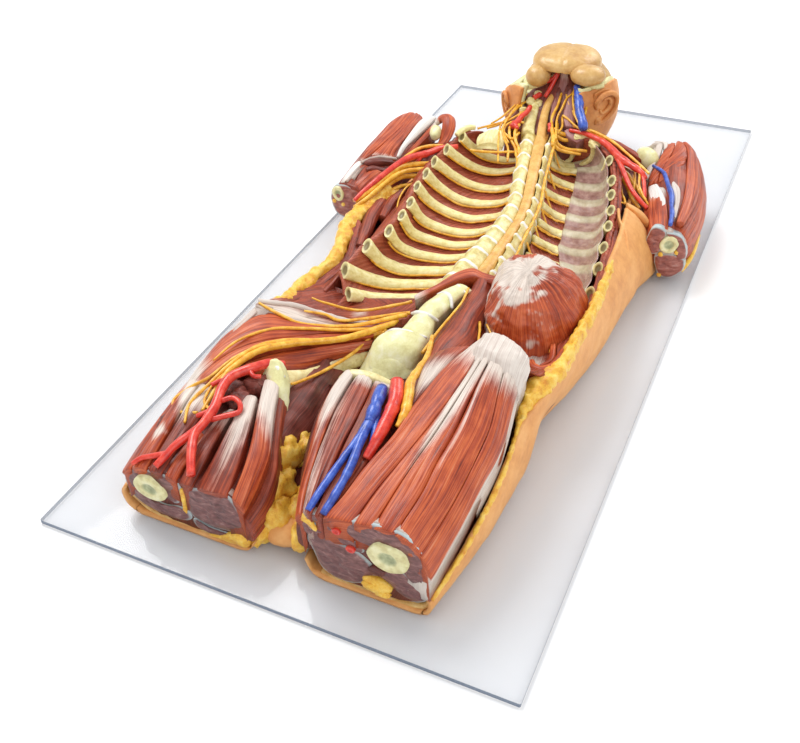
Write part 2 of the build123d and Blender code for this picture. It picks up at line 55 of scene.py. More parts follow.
def hash_noise(cells, seed):
    """Repeatable pseudo-random value from 0 to 1 for each integer cell."""
    with np.errstate(over="ignore"):
        mixed = cells @ np.array([374761393, 668265263, 1442695041], np.int64) + seed * 974711
        mixed = (mixed ^ (mixed >> 13)) * np.int64(1274126177)
        mixed = mixed ^ (mixed >> 16)
    return (mixed & 0xFFFF) / 65535.0


def noise(points, seed=0):
    """Smooth noise from -1 to 1 at each point of an (..., 3) array."""
    points = np.asarray(points, float)
    flat = points.reshape(-1, 3)
    cells = np.floor(flat).astype(np.int64)
    part = flat - cells
    part = part * part * (3 - 2 * part)
    total = np.zeros(len(flat))
    for corner in np.ndindex(2, 2, 2):
        weight = np.prod(np.where(np.array(corner) == 1, part, 1 - part), axis=1)
        total += weight * hash_noise(cells + np.array(corner), seed)
    return (total * 2 - 1).reshape(points.shape[:-1])


def rough(points, octaves=3, seed=0):
    """Noise summed over a few finer and weaker layers."""
    points = np.asarray(points, float)
    total, weight = 0, 1.0
    for layer in range(octaves):
        total = total + weight * noise(points * 2**layer, seed + layer)
        weight *= 0.5
    return total


def smooth_line(control, count, closed=False):
    """Catmull-Rom curve through control rows, sampled count times."""
    control = np.asarray(control, float)
    size = len(control)
    if size == 2 and not closed:
        t = np.linspace(0, 1, count).reshape((-1,) + (1,) * (control.ndim - 1))
        return control[0] * (1 - t) + control[1] * t
    spans = size if closed else size - 1
    place = np.linspace(0, spans, count, endpoint=not closed)
    span = np.minimum(place.astype(int), spans - 1)
    t = (place - span).reshape((-1,) + (1,) * (control.ndim - 1))
    if closed:
        p = [control[(span + k) % size] for k in (-1, 0, 1, 2)]
    else:
        ends = np.concatenate([[2 * control[0] - control[1]], control, [2 * control[-1] - control[-2]]])
        p = [ends[span + k] for k in (0, 1, 2, 3)]
    return 0.5 * (
        2 * p[1] + (p[2] - p[0]) * t + (2 * p[0] - 5 * p[1] + 4 * p[2] - p[3]) * t**2
        + (3 * p[1] - p[0] - 3 * p[2] + p[3]) * t**3
    )


def smooth_grid(control, rows, cols):
    """Surface through a grid of control points, or through lists of different lengths."""
    lines = [smooth_line(line, cols) for line in control]
    return smooth_line(lines, rows)


def unit(vectors):
    """Vectors of length one along the last axis."""
    return vectors / np.maximum(np.linalg.norm(vectors, axis=-1, keepdims=True), 1e-9)


def normals(grid, closed=False):
    """Outward normals of a grid of points; closed wraps round along the second axis."""
    along = np.gradient(grid, axis=0)
    if closed:
        across = np.roll(grid, -1, 1) - np.roll(grid, 1, 1)
    else:
        across = np.gradient(grid, axis=1)
    return unit(np.cross(across, along))


def path_lengths(line):
    """Distance along a line of points at each of its points."""
    steps = np.linalg.norm(np.diff(line, axis=0), axis=-1)
    return np.concatenate([[0], np.cumsum(steps)])


# ---------------------------------------------------------------- shapes
# A shape is its points, its faces, and one "fibre" vector a point: millimetres along the
# fibres, millimetres across them, and how far the surface is tendon, from 0 to 1.


def loft(rings, fibre, cap_ends=True):
    """Closed skin over a stack of closed rings.

    Each end gets a fan, or with cap_ends "seam" a seam between the two halves of its ring.
    """
    rows, cols = rings.shape[:2]
    points = rings.reshape(-1, 3)
    fibre = fibre.reshape(-1, 3)
    row, col = np.meshgrid(np.arange(rows - 1), np.arange(cols), indexing="ij")
    next_col = (col + 1) % cols
    quads = np.stack(
        [row * cols + col, row * cols + next_col, (row + 1) * cols + next_col, (row + 1) * cols + col], -1
    )
    faces = quads.reshape(-1, 4).tolist()
    if cap_ends == "seam":
        for end in (0, rows - 1):
            for k in range(cols // 2 - 1):
                a, b = end * cols + k, end * cols + cols - 1 - k
                faces.append([a, a + 1, b - 1, b][::1 if end else -1])
    elif cap_ends:
        for end, order in ((0, -1), (rows - 1, 1)):
            middle = len(points)
            points = np.vstack([points, rings[end].mean(0)])
            fibre = np.vstack([fibre, fibre[end * cols:(end + 1) * cols].mean(0)])
            ring = [end * cols + k for k in range(cols)]
            for k in range(cols):
                pair = (ring[k], ring[(k + 1) % cols])[::order]
                faces.append([pair[0], pair[1], middle])
    return points, faces, fibre


def ridges(along, across, width=3.0, seed=0):
    """Fascicles: long low ridges beside each other, from -1 to 1."""
    flow = np.stack([along / 55, across / width, np.zeros_like(along)], -1)
    coarse = noise(flow, seed)
    fine = noise(flow * np.array([1.5, 2.6, 1]), seed + 5)
    return coarse * 0.7 + (0.5 - np.abs(fine)) * 0.6


def strap(route, widths, depths, up=(0, 0, 1), tendon=(0, 0), sides=56, rows=90, seed=0, swell=0.5,
          lean=0.0, roundness=2.0):
    """A muscle belly swept along its route: widths and depths are its full size at each point."""
    line = smooth_line(route, rows)
    width = smooth_line(np.asarray(widths, float)[:, None], rows)[:, 0]
    depth = smooth_line(np.asarray(depths, float)[:, None], rows)[:, 0]
    ahead = unit(np.gradient(line, axis=0))
    up = np.broadcast_to(np.asarray(up, float), line.shape)
    aside = unit(np.cross(ahead, up))
    upward = unit(np.cross(aside, ahead))
    turn = np.linspace(0, 2 * np.pi, sides, endpoint=False)
    x = np.sign(np.cos(turn)) * np.abs(np.cos(turn)) ** (2 / roundness)
    z = np.sign(np.sin(turn)) * np.abs(np.sin(turn)) ** (2 / roundness)
    rings = (
        line[:, None] + aside[:, None] * (x[None, :, None] * width[:, None, None] / 2)
        + upward[:, None] * (z[None, :, None] * depth[:, None, None] / 2)
    )
    along = np.repeat(path_lengths(line)[:, None], sides, 1)
    girth = (width + depth)[:, None] * 0.25
    across = x[None, :] * girth + along * lean
    part = np.linspace(0, 1, rows)[:, None] * np.ones(sides)
    sinew = tendon_mask(part, tendon)
    fibre = np.stack([along, across + np.sign(z)[None, :] * 200 * (z < 0), sinew], -1)
    bump = ridges(along, across, seed=seed) * (1 - 0.6 * sinew) * swell
    rings = rings + normals(rings, closed=True) * bump[..., None]
    return loft(rings, fibre)


def tendon_mask(part, tendon):
    """1 at a tendon end and 0 in the belly: tendon is the share of the length at each end."""
    start, end = tendon
    mask = np.zeros_like(part)
    if start:
        mask = np.maximum(mask, 1 - part / start)
    if end:
        mask = np.maximum(mask, 1 - (1 - part) / end)
    return np.clip(mask, 0, 1)


def slab(control, depth, rows=90, cols=90, **look):
    """A sheet or mass whose top passes through a grid of control points, fibres down the rows."""
    return modelled(smooth_grid(control, rows, cols), depth, **look)


def strip(lines, depth, bulge=3.0, rows=110, cols=28, **look):
    """A muscle between boundary lines that run along its fibres, arched between the outer two."""
    sampled = np.stack([smooth_line(line, rows) for line in lines])
    top = smooth_line(sampled, cols).transpose(1, 0, 2)
    arch = np.sin(np.linspace(0, np.pi, cols)) ** 0.7 * bulge
    if bulge:
        normal = normals(top)
        normal = normal * np.sign(normal[..., 2].mean())
        top = top + normal * arch[None, :, None]
    return modelled(top, depth, **look)


def modelled(top, depth, edge=1.0, tendon=(0, 0), seed=0, swell=0.5, width=3.0, lean=0.0, lumps=0.0,
             lump_size=12.0, fade=None, down=(0, 0, -1), bottom=5, fibre_shift=0.0, follow=False):
    """Closed shape below a grid of points, with fascicles or lumps raised on its top.

    A flat bottom lies depth below the two side edges; with follow, the bottom keeps that
    distance below every point instead.
    """
    rows, cols = top.shape[:2]
    normal = normals(top)
    normal = normal * np.sign((normal @ -np.asarray(down, float)).mean())
    along = path_lengths(top.mean(1))[:, None] * np.ones(cols)
    spread = np.linalg.norm(np.diff(top, axis=1), axis=-1).sum(1).mean()
    part_across = np.linspace(-1, 1, cols)[None, :] * np.ones((rows, 1))
    across = part_across * spread / 2 + along * lean + fibre_shift
    part = np.linspace(0, 1, rows)[:, None] * np.ones(cols)
    sinew = tendon_mask(part, tendon)
    if fade is not None:
        sinew = np.maximum(sinew, np.clip(fade(part, part_across), 0, 1))
    bump = ridges(along, across, width, seed) * swell * (1 - 0.6 * sinew)
    if lumps:
        bump = bump + lumps * rough(top / lump_size, 3, seed + 9)
    roll = edge * np.abs(part_across) ** 8 + min(edge, 0.8) * np.abs(part * 2 - 1) ** 40
    top = top + normal * (bump - roll)[..., None]
    down = np.asarray(down, float)
    if follow:
        low = (top - normal * depth)[:, ::-1]
        fibre = np.stack([along, across, sinew], -1)
        return loft(np.concatenate([top, low], 1), np.concatenate([fibre, fibre[:, ::-1]], 1), "seam")
    left, right = top[:, -1], top[:, 0]
    share = np.linspace(0, 1, bottom + 2)[None, :, None]
    low = (left[:, None] + down * depth) * (1 - share) + (right[:, None] + down * depth) * share
    rings = np.concatenate([top, low], 1)
    low_fibre = np.stack(
        [np.repeat(along[:, :1], bottom + 2, 1),
         np.linspace(1, -1, bottom + 2)[None, :] * spread / 2 * np.ones((rows, 1)) + 200,
         np.repeat(sinew[:, :1], bottom + 2, 1)], -1
    )
    fibre = np.concatenate([np.stack([along, across, sinew], -1), low_fibre], 1)
    return loft(rings, fibre)


def body_of_rings(stations, rows=60, sides=64, seed=0, swell=0.4, width=3.0, lumps=0.0, lump_size=12.0,
                  sinew=0.0, cap_ends=True, fade=None):
    """A mass lofted through closed control rings, all with the same number of points."""
    lines = np.stack([smooth_line(ring, sides, closed=True) for ring in stations])
    rings = smooth_line(lines, rows)
    along = path_lengths(rings.mean(1))[:, None] * np.ones(sides)
    girth = np.linalg.norm(np.roll(rings, -1, 1) - rings, axis=-1).sum(1).mean()
    across = np.abs(np.linspace(-0.5, 0.5, sides))[None, :] * girth * np.ones((rows, 1))
    bump = ridges(along, across, width, seed) * swell
    if lumps:
        bump = bump + lumps * rough(rings / lump_size, 3, seed + 9)
    normal = normals(rings, closed=True)
    outward = np.sign((normal * (rings - rings.mean(1, keepdims=True))).sum(-1).mean())
    rings = rings + normal * outward * bump[..., None]
    pale = np.full_like(along, sinew)
    if fade is not None:
        part = np.linspace(0, 1, rows)[:, None] * np.ones(sides)
        pale = np.clip(fade(part, rings), 0, 1)
    fibre = np.stack([along, across, pale], -1)
    return loft(rings, fibre, cap_ends)


def facing(outline, y, tilt=0.0):
    """Turns an outline of (x, z) points into points at a cut across the body."""
    return [(x, y + tilt * z, z) for x, z in outline]


def cut_face(outline, y, dome=1.5, thick=6.0, rings_count=14, sides=72, seed=0, rim=0.16, jag=0.6,
             tilt=0.0):
    """One lobe of a cut across the limb: a domed plate facing the feet, with a paler rim."""
    edge = smooth_line(facing(outline, y, tilt), sides, closed=True)
    middle = edge.mean(0)
    outward = unit(edge - middle)
    edge = edge + outward * (jag * rough(edge / 5, 2, seed))[:, None]
    rings, fibres = [], []
    span = np.linalg.norm(edge - middle, axis=-1).mean()
    for k, share in enumerate(np.linspace(0.02, 1, rings_count)):
        ring = middle + (edge - middle) * share
        lift = dome * (1 - share**4) + 0.35 * dome * rough(ring / 7, 3, seed + 3) * (1 - share**6)
        ring = ring + np.array([0, -1.0, 0]) * lift[:, None]
        pale = np.full(sides, np.clip((share - 1 + rim) / rim, 0, 1) if rim else 0.0)
        rings.append(ring)
        fibres.append(np.stack([ring[:, 0] * 1.4, ring[:, 2] * 1.4, pale], -1))
    rings.append(edge + np.array([0, thick, 0]))
    fibres.append(fibres[-1])
    return loft(np.array(rings), np.array(fibres))


def bone_ring(centre, radii, y, hollow=0.45, depth=9.0, sides=48, seed=0, tilt=0.0, proud=2.0):
    """Cut end of a long bone: a flat ring with a shallow marrow hollow."""
    turn = np.linspace(0, 2 * np.pi, sides, endpoint=False)
    wobble = 1 + 0.05 * noise(np.stack([np.cos(turn) * 2, np.sin(turn) * 2, np.full(sides, seed)], -1),
        seed)
    rings, fibres = [], []
    for share, back, pale in (
        (0.03, 1.6, 1), (hollow * 0.8, 1.3, 1), (hollow, 0.9, 0.6), (hollow * 1.2, 0.1, 0), (0.9, 0, 0),
        (1, 0.7, 0),
        (1.02, depth, 0),
    ):
        x = centre[0] + np.cos(turn) * radii[0] * share * wobble
        z = centre[1] + np.sin(turn) * radii[1] * share * wobble
        rings.append(np.stack([x, y - proud + back + tilt * z, z], -1))
        fibres.append(np.stack([x, z, np.full(sides, float(pale))], -1))
    return loft(np.array(rings), np.array(fibres))


def lump(centre, radii, sides=32, rows=20, rough_by=0.12, size=8.0, seed=0, turn=0.0):
    """A rounded lump, roughened, turned about the vertical."""
    lift = np.linspace(-np.pi / 2, np.pi / 2, rows)
    round_by = np.linspace(0, 2 * np.pi, sides, endpoint=False)
    x = np.cos(lift)[:, None] * np.cos(round_by)[None]
    y = np.cos(lift)[:, None] * np.sin(round_by)[None]
    z = np.sin(lift)[:, None] * np.ones(sides)
    ball = np.stack([x, y, z], -1)
    shape = ball * np.asarray(radii, float)
    shape = shape * (1 + rough_by * rough((shape + np.asarray(centre)) / size, 3, seed))[..., None]
    angle = math.radians(turn)
    spin = np.array([[math.cos(angle), math.sin(angle), 0], [-math.sin(angle), math.cos(angle), 0],
        [0, 0, 1]])
    rings = shape @ spin + np.asarray(centre, float)
    fibre = np.stack([rings[..., 0], rings[..., 1], np.zeros(rings.shape[:2])], -1)
    return loft(rings, fibre)


def tube(route, radii, sides=14, rows=None, wobble=0.12, seed=0):
    """A vessel or nerve along a smooth route, with its radius at each point."""
    route = np.asarray(route, float)
    rows = rows or max(12, int(path_lengths(route)[-1] / 2.5))
    line = smooth_line(route, rows)
    radii = np.full(len(route), radii, float) if np.isscalar(radii) else np.asarray(radii, float)
    radius = smooth_line(radii[:, None], rows)[:, 0]
    radius = radius * (1 + wobble * noise(line / 6, seed))
    ahead = unit(np.gradient(line, axis=0))
    side = unit(np.cross(ahead, np.broadcast_to([0.13, 0.21, 0.97], line.shape)))
    over = np.cross(side, ahead)
    turn = np.linspace(0, 2 * np.pi, sides, endpoint=False)
    ring = np.cos(turn)[None, :, None] * side[:, None] + np.sin(turn)[None, :, None] * over[:, None]
    rings = line[:, None] + ring * radius[:, None, None]
    along = np.repeat(path_lengths(line)[:, None], sides, 1)
    fibre = np.stack([along, np.cos(turn)[None, :] * radius[:, None] * 1.5, np.zeros_like(along)], -1)
    return loft(rings, fibre)


# ---------------------------------------------------------------- materials


class Nodes:
    """Small helper that builds one material's node tree."""

    def __init__(self, name):
        self.material = bpy.data.materials.new(name)
        self.material.use_nodes = True
        self.tree = self.material.node_tree
        self.shader = self.tree.nodes["Principled BSDF"]

    def new(self, kind, **settings):
        node = self.tree.nodes.new(kind)
        for key, value in settings.items():
            setattr(node, key, value)
        return node

    def link(self, source, target):
        self.tree.links.new(source, target)

    def fibre(self):
        """Outputs along, across and tendon of the fibre attribute."""
        attribute = self.new("ShaderNodeAttribute", attribute_name="fibre")
        split = self.new("ShaderNodeSeparateXYZ")
        self.link(attribute.outputs["Vector"], split.inputs[0])
        return split.outputs

    def place(self, scale):
        """Object coordinates scaled so that one unit is 1/scale metres."""
        coords = self.new("ShaderNodeTexCoord")
        mapping = self.new("ShaderNodeMapping")
        mapping.inputs["Scale"].default_value = (scale, scale, scale)
        self.link(coords.outputs["Object"], mapping.inputs["Vector"])
        return mapping.outputs[0]

    def scaled(self, along, across, along_scale, across_scale):
        """A texture vector stretched along the fibres."""
        join = self.new("ShaderNodeCombineXYZ")
        for output, target, scale in ((along, 0, along_scale), (across, 1, across_scale)):
            self.link(self.math("MULTIPLY", output, scale), join.inputs[target])
        return join.outputs[0]

    def math(self, operation, first, second=0.0, clamp=False):
        node = self.new("ShaderNodeMath", operation=operation, use_clamp=clamp)
        for socket, value in zip(node.inputs, (first, second)):
            if isinstance(value, (int, float)):
                socket.default_value = value
            else:
                self.link(value, socket)
        return node.outputs[0]

    def noise(self, vector, scale=1.0, detail=3.0, roughness=0.55, distortion=0.0):
        node = self.new("ShaderNodeTexNoise")
        node.inputs["Scale"].default_value = scale
        node.inputs["Detail"].default_value = detail
        node.inputs["Roughness"].default_value = roughness
        node.inputs["Distortion"].default_value = distortion
        self.link(vector, node.inputs["Vector"])
        return node.outputs[0]

    def ramp(self, factor, stops):
        node = self.new("ShaderNodeValToRGB")
        ramp = node.color_ramp
        while len(ramp.elements) < len(stops):
            ramp.elements.new(0.5)
        for element, (place, colour) in zip(ramp.elements, stops):
            element.position = place
            element.color = (*srgb(colour), 1)
        self.link(factor, node.inputs[0])
        return node.outputs[0]

    def mix(self, factor, first, second, blend="MIX"):
        node = self.new("ShaderNodeMix", data_type="RGBA", blend_type=blend)
        for socket, value in ((node.inputs[0], factor), (node.inputs[6], first), (node.inputs[7], second)):
            if isinstance(value, (int, float)):
                socket.default_value = value
            elif isinstance(value, tuple):
                socket.default_value = (*srgb(value), 1)
            else:
                self.link(value, socket)
        return node.outputs[2]

    def bump(self, height, strength, distance):
        node = self.new("ShaderNodeBump")
        node.inputs["Strength"].default_value = strength
        node.inputs["Distance"].default_value = distance
        self.link(height, node.inputs["Height"])
        self.link(node.outputs[0], self.shader.inputs["Normal"])

    def finish(self, colour, roughness=0.45, specular=0.5, coat=0.0):
        self.link(colour, self.shader.inputs["Base Color"])
        if isinstance(roughness, (int, float)):
            self.shader.inputs["Roughness"].default_value = roughness
        else:
            self.link(roughness, self.shader.inputs["Roughness"])
        self.shader.inputs["Specular IOR Level"].default_value = specular
        self.shader.inputs["Coat Weight"].default_value = coat
        self.shader.inputs["Coat Roughness"].default_value = 0.25
        return self.material


def srgb(colour):
    """Linear light from a colour given as 0 to 255 screen values."""
    shares = [c / 255 for c in colour]
    return tuple(c / 12.92 if c <= 0.04045 else ((c + 0.055) / 1.055) ** 2.4 for c in shares)


def muscle_material(name, dark, middle, light, tendon, streak=(0.020, 0.95), gloss=0.42):
    """Printed muscle: streaks along the fibres, blotches, and fibres fading into tendon."""
    n = Nodes(name)
    along, across, sinew = n.fibre()
    fine = n.noise(n.scaled(along, across, *streak), detail=4, roughness=0.62, distortion=0.25)
    coarse = n.noise(n.scaled(along, across, streak[0] * 0.55, streak[1] * 0.26), detail=2, distortion=0.4)
    blotch = n.noise(n.place(38), detail=3)
    tone = n.math("ADD", n.math("MULTIPLY", fine, 0.62), n.math("MULTIPLY", coarse, 0.38))
    tone = n.math("ADD", tone, n.math("MULTIPLY", n.math("SUBTRACT", blotch, 0.5), 0.30))
    flesh = n.ramp(tone, [(0.30, dark), (0.45, middle), (0.58, light),
        (0.70, tuple(0.75 * a + 0.25 * b for a, b in zip(light, tendon)))])
    white = n.ramp(fine, [(0.25, tuple(c * 0.70 for c in tendon)), (0.5, tendon),
        (0.75, tuple(min(255, c * 1.08) for c in tendon))])
    edge = n.math("ADD", n.math("MULTIPLY", sinew, 2.2), n.math("MULTIPLY", n.math("SUBTRACT", tone, 0.5),
        3.0))
    amount = n.math("SUBTRACT", edge, 0.55, clamp=True)
    colour = n.mix(amount, flesh, white)
    n.bump(n.math("ADD", n.math("MULTIPLY", fine, 0.7), coarse), 0.55, 0.0011)
    rough_value = n.math("ADD", n.math("MULTIPLY", blotch, 0.30), gloss - 0.15)
    return n.finish(colour, rough_value, specular=0.45, coat=0.12)


def speckled_material(name, low, middle, high, scale, gloss=0.5, bump=0.3, depth=0.0006, coat=0.0):
    """Printed surface with soft mottling, for bone, skin, fat and brain."""
    n = Nodes(name)
    where = n.place(scale)
    cloud = n.noise(where, detail=4, roughness=0.6)
    grain = n.noise(where, scale=7.0, detail=3)
    tone = n.math("ADD", n.math("MULTIPLY", cloud, 0.75), n.math("MULTIPLY", grain, 0.25))
    colour = n.ramp(tone, [(0.34, low), (0.50, middle), (0.66, high)])
    n.bump(n.math("ADD", cloud, n.math("MULTIPLY", grain, 0.45)), bump, depth)
    return n.finish(colour, gloss, coat=coat)


MUSCLE = muscle_material("muscle", (70, 26, 19), (126, 48, 30), (172, 74, 42), (216, 202, 190))
BONE = speckled_material("bone", (205, 186, 120), (233, 220, 160), (244, 236, 196), 60, gloss=0.45)
FAT = speckled_material("fat", (214, 140, 40), (240, 190, 66), (250, 218, 120), 90, gloss=0.38,
  bump=0.6, depth=0.002)
SKIN = speckled_material("skin", (214, 146, 82), (230, 165, 96), (240, 182, 114), 30, gloss=0.55)


def acrylic_material():
    """Clear sheet: nearly invisible faces and darker blue-grey edges, the faint blue being the sheet's own
    tint and the edges' darkness painted shade for light bent inside the sheet.
    """
    n = Nodes("clear_acrylic")
    geometry = n.new("ShaderNodeNewGeometry")
    split = n.new("ShaderNodeSeparateXYZ")
    n.link(geometry.outputs["Normal"], split.inputs[0])
    upright = n.math("ABSOLUTE", split.outputs[2])
    haze = n.noise(n.place(4), detail=2)
    face = n.mix(haze, (222, 226, 232), (232, 235, 240))
    # painted shade: faces that stand on edge take a dark blue-grey in place of the light bent and shaded
    # inside the clear sheet; only the faint blue is the sheet's own tint
    colour = n.mix(upright, (104, 118, 138), face)
    alpha = n.math("SUBTRACT", 0.92, n.math("MULTIPLY", upright, 0.62))
    n.link(alpha, n.shader.inputs["Alpha"])
    return n.finish(colour, 0.06, specular=0.5)


# ---------------------------------------------------------------- pieces


def piece(name, shapes, material, stands_for=(), body="specimen"):
    """One visible piece made of one or more shapes, riding on a body of the frame."""
    points, faces, fibres, offset = [], [], [], 0
    for shape_points, shape_faces, shape_fibre in shapes:
        points.append(shape_points)
        faces += [[index + offset for index in face] for face in shape_faces]
        fibres.append(shape_fibre)
        offset += len(shape_points)
    points = np.vstack(points) * MM
    mesh = bpy.data.meshes.new(name)
    mesh.from_pydata(points.tolist(), [], faces)
    attribute = mesh.attributes.new("fibre", "FLOAT_VECTOR", "POINT")
    attribute.data.foreach_set("vector", np.vstack(fibres).astype(np.float32).ravel())
    mesh.polygons.foreach_set("use_smooth", [True] * len(mesh.polygons))
    mesh.validate()
    mesh.update()
    item = bpy.data.objects.new(name, mesh)
    bpy.context.scene.collection.objects.link(item)
    mesh.materials.append(material)
    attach(item, body)
    if stands_for:
        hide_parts(*stands_for)
    return item


def assign(node, material):
    """Gives a CAD node that stays visible its material."""
    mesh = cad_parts[node].data
    mesh.materials.clear()
    mesh.materials.append(material)


assign("base_board", acrylic_material())


MUSCLE_BRIGHT = muscle_material("muscle_bright", (88, 28, 16), (164, 62, 30), (204, 98, 50),
  (220, 206, 194))
MUSCLE_DEEP = muscle_material("muscle_deep", (58, 26, 22), (98, 44, 36), (132, 62, 50), (190, 170, 160),
  gloss=0.5)
MUSCLE_MAUVE = muscle_material("muscle_mauve", (98, 56, 58), (142, 88, 86), (174, 122, 116),
  (206, 182, 176), gloss=0.45)
MUSCLE_INTERCOSTAL = muscle_material("muscle_intercostal", (92, 34, 26), (150, 66, 46), (186, 98, 72),
  (206, 178, 166), gloss=0.5)
TENDON = muscle_material("tendon", (170, 150, 140), (206, 192, 182), (226, 216, 206), (236, 232, 226),
  gloss=0.5)
FASCIA = muscle_material("fascia", (150, 110, 100), (190, 168, 156), (212, 200, 190), (206, 212, 214),
  gloss=0.45)
BONE_PALE = speckled_material("bone_pale", (214, 208, 146), (232, 230, 172), (244, 243, 206), 70,
  gloss=0.4)
FAT_TAN = speckled_material("fat_tan", (190, 140, 74), (216, 172, 100), (232, 200, 136), 70, gloss=0.4,
  bump=0.5, depth=0.0015)
DISC = speckled_material("disc", (214, 212, 200), (234, 234, 226), (246, 246, 242), 80, gloss=0.35)
ARTERY = speckled_material("artery", (186, 34, 26), (222, 58, 42), (238, 92, 70), 120, gloss=0.28,
  coat=0.3)
VEIN = speckled_material("vein", (32, 60, 140), (52, 86, 184), (84, 120, 210), 120, gloss=0.3, coat=0.3)
NERVE = speckled_material("nerve", (206, 138, 28), (238, 176, 50), (250, 206, 92), 110, gloss=0.32,
  coat=0.2)
CORD = speckled_material("cord", (196, 140, 64), (222, 172, 92), (236, 196, 122), 60, gloss=0.42)
BRAIN = speckled_material("brain", (184, 136, 74), (206, 164, 98), (222, 186, 124), 36, gloss=0.36,
  coat=0.25)
HEAD_SKIN = speckled_material("head_skin", (196, 122, 62), (220, 148, 82), (234, 170, 102), 34,
  gloss=0.5)


def cut_material(name, flesh_low, flesh_middle, flesh_high):
    """Cut muscle: mauve bundles with fine pale septa and a bluish-white rim."""
    n = Nodes(name)
    across, height, rim = n.fibre()
    where = n.scaled(across, height, 0.055, 0.16)
    bundle = n.noise(where, scale=1.0, detail=5, roughness=0.65, distortion=0.8)
    grain = n.noise(n.place(260), detail=3)
    tone = n.math("ADD", n.math("MULTIPLY", bundle, 0.8), n.math("MULTIPLY", grain, 0.2))
    flesh = n.ramp(tone, [(0.32, flesh_low), (0.47, flesh_middle), (0.58, flesh_high),
        (0.70, (176, 138, 132))])
    edge = n.math("SUBTRACT", n.math("MULTIPLY", rim, 1.5), n.math("MULTIPLY", bundle, 1.0), clamp=True)
    colour = n.mix(edge, flesh, (186, 200, 202))
    n.bump(tone, 0.5, 0.0012)
    return n.finish(colour, 0.36, coat=0.2)


def marrow_material():
    """Cut long bone: cream ring round a grey-green middle."""
    n = Nodes("marrow_bone")
    across, height, middle = n.fibre()
    cloud = n.noise(n.place(120), detail=4)
    ring = n.ramp(cloud, [(0.35, (206, 196, 140)), (0.5, (226, 220, 166)), (0.65, (238, 234, 190))])
    core = n.ramp(cloud, [(0.35, (140, 146, 108)), (0.5, (166, 172, 130)), (0.65, (196, 200, 156))])
    n.bump(cloud, 0.3, 0.0006)
    return n.finish(n.mix(middle, ring, core), 0.4)


def pleura_material():
    """Thin shiny membrane over red ribs' muscle, grey-pink, paler over each rib."""
    n = Nodes("pleura")
    along, across, over_rib = n.fibre()
    cloud = n.noise(n.scaled(along, across, 0.06, 0.05), detail=4, roughness=0.6)
    gaps = n.ramp(cloud, [(0.35, (136, 96, 92)), (0.5, (160, 124, 118)), (0.65, (184, 152, 144))])
    ribs = n.ramp(cloud, [(0.35, (176, 164, 140)), (0.5, (196, 186, 160)), (0.65, (214, 206, 184))])
    n.bump(cloud, 0.3, 0.0008)
    return n.finish(n.mix(over_rib, gaps, ribs), 0.22, coat=0.35)


CUT = cut_material("cut_muscle", (74, 38, 38), (108, 62, 60), (132, 86, 82))
CUT_RED = cut_material("cut_muscle_red", (98, 44, 36), (142, 72, 60), (168, 100, 84))
MARROW = marrow_material()
PLEURA = pleura_material()


# ---------------------------------------------------------------- left thigh
# Boundary lines run from the hip bone's front corner down to the cut.

L0 = [(106, -280, 141), (85, -314, 128), (76, -371, 122), (74, -410, 118), (65, -453, 112),
  (59, -484, 103), (50, -506, 94)]
L1 = [(114, -286, 147), (112, -334, 136), (104, -394, 128), (95, -440, 119), (87, -473, 111),
  (80, -506, 101)]
L2 = [(128, -300, 148), (128, -340, 143), (129, -393, 132), (127, -435, 125), (126, -465, 117),
  (120, -506, 106)]
L3 = [(142, -300, 147), (148, -340, 136), (154, -380, 124), (154, -420, 115), (151, -460, 104),
  (143, -506, 90)]
L4 = [(160, -293, 135), (160, -330, 114), (165, -375, 100), (163, -416, 92), (160, -459, 78),
  (152, -506, 54)]

left_cut = [(25, 76), (30, 91), (49, 95), (72, 101), (100, 107), (122, 108), (136, 100), (147, 84),
  (152, 62), (152, 38), (142, 20), (120, 11), (96, 10), (70, 10), (50, 12), (39, 20), (33, 43),
  (26, 62)]


def grown(outline, scale, shift=(0, 0)):
    """An outline of (x, z) points scaled about its own middle and moved."""
    middle = np.mean(outline, axis=0)
    return [tuple((np.array(p) - middle) * scale + middle + np.array(shift)) for p in outline]


def clamp_floor(ring, low):
    """Keeps a ring's points above a height."""
    return [(x, y, max(z, low)) for x, y, z in ring]


left_core = body_of_rings([clamp_floor(facing(grown(left_cut, s, shift), y), 9)
   for y, s, shift in ((-503, 0.93, (0, 0)), (-460, 0.96, (4, 2)), (-410, 0.98, (8, 6)),
   (-360, 0.98, (12, 8)), (-310, 0.88, (8, 12)), (-276, 0.72, (10, 22)))],
  rows=60, seed=3, swell=1.0, lumps=1.0)
piece("thigh_core_left", [left_core], MUSCLE_DEEP, ["thigh_muscles_left"])

piece("sartorius_left",
  [strip([L0, L1], 30, bulge=2.5, seed=11, swell=1.0, width=4.0, edge=1.4, tendon=(0.22, 0),
      fade=lambda p, a: 0.6 - p * 4 + a * 0.3)], MUSCLE_BRIGHT)
piece("rectus_femoris_left_medial",
  [strip([L1,
        [(122, -292, 149), (119, -336, 141), (114, -394, 132), (108, -440, 123), (104, -470, 115),
          (99, -506, 104)]], 30, bulge=1.6, seed=21, swell=1.0, width=4.0, edge=1.6,
      fade=lambda p, a: 1.5 - p * 2.7 + a * 0.6)], MUSCLE_BRIGHT)
piece("rectus_femoris_left_lateral",
  [strip([[(122, -292, 149), (119, -336, 141), (114, -394, 132), (108, -440, 123), (104, -470, 115),
          (99, -506, 104)], L2], 30, bulge=1.6, seed=24, swell=1.1, width=3.4, edge=1.6,
      fade=lambda p, a: 1.4 - p * 2.6 - a * 0.5)], MUSCLE_BRIGHT)
piece("tensor_left",
  [strip([L2, L3], 30, bulge=2.0, seed=31, swell=1.1, width=4.5, edge=1.4,
      fade=lambda p, a: np.maximum(1.25 - p * 4.6, 0.95 - np.abs(a + 0.75) * 2.4 - p * 1.0))],
  MUSCLE_BRIGHT)
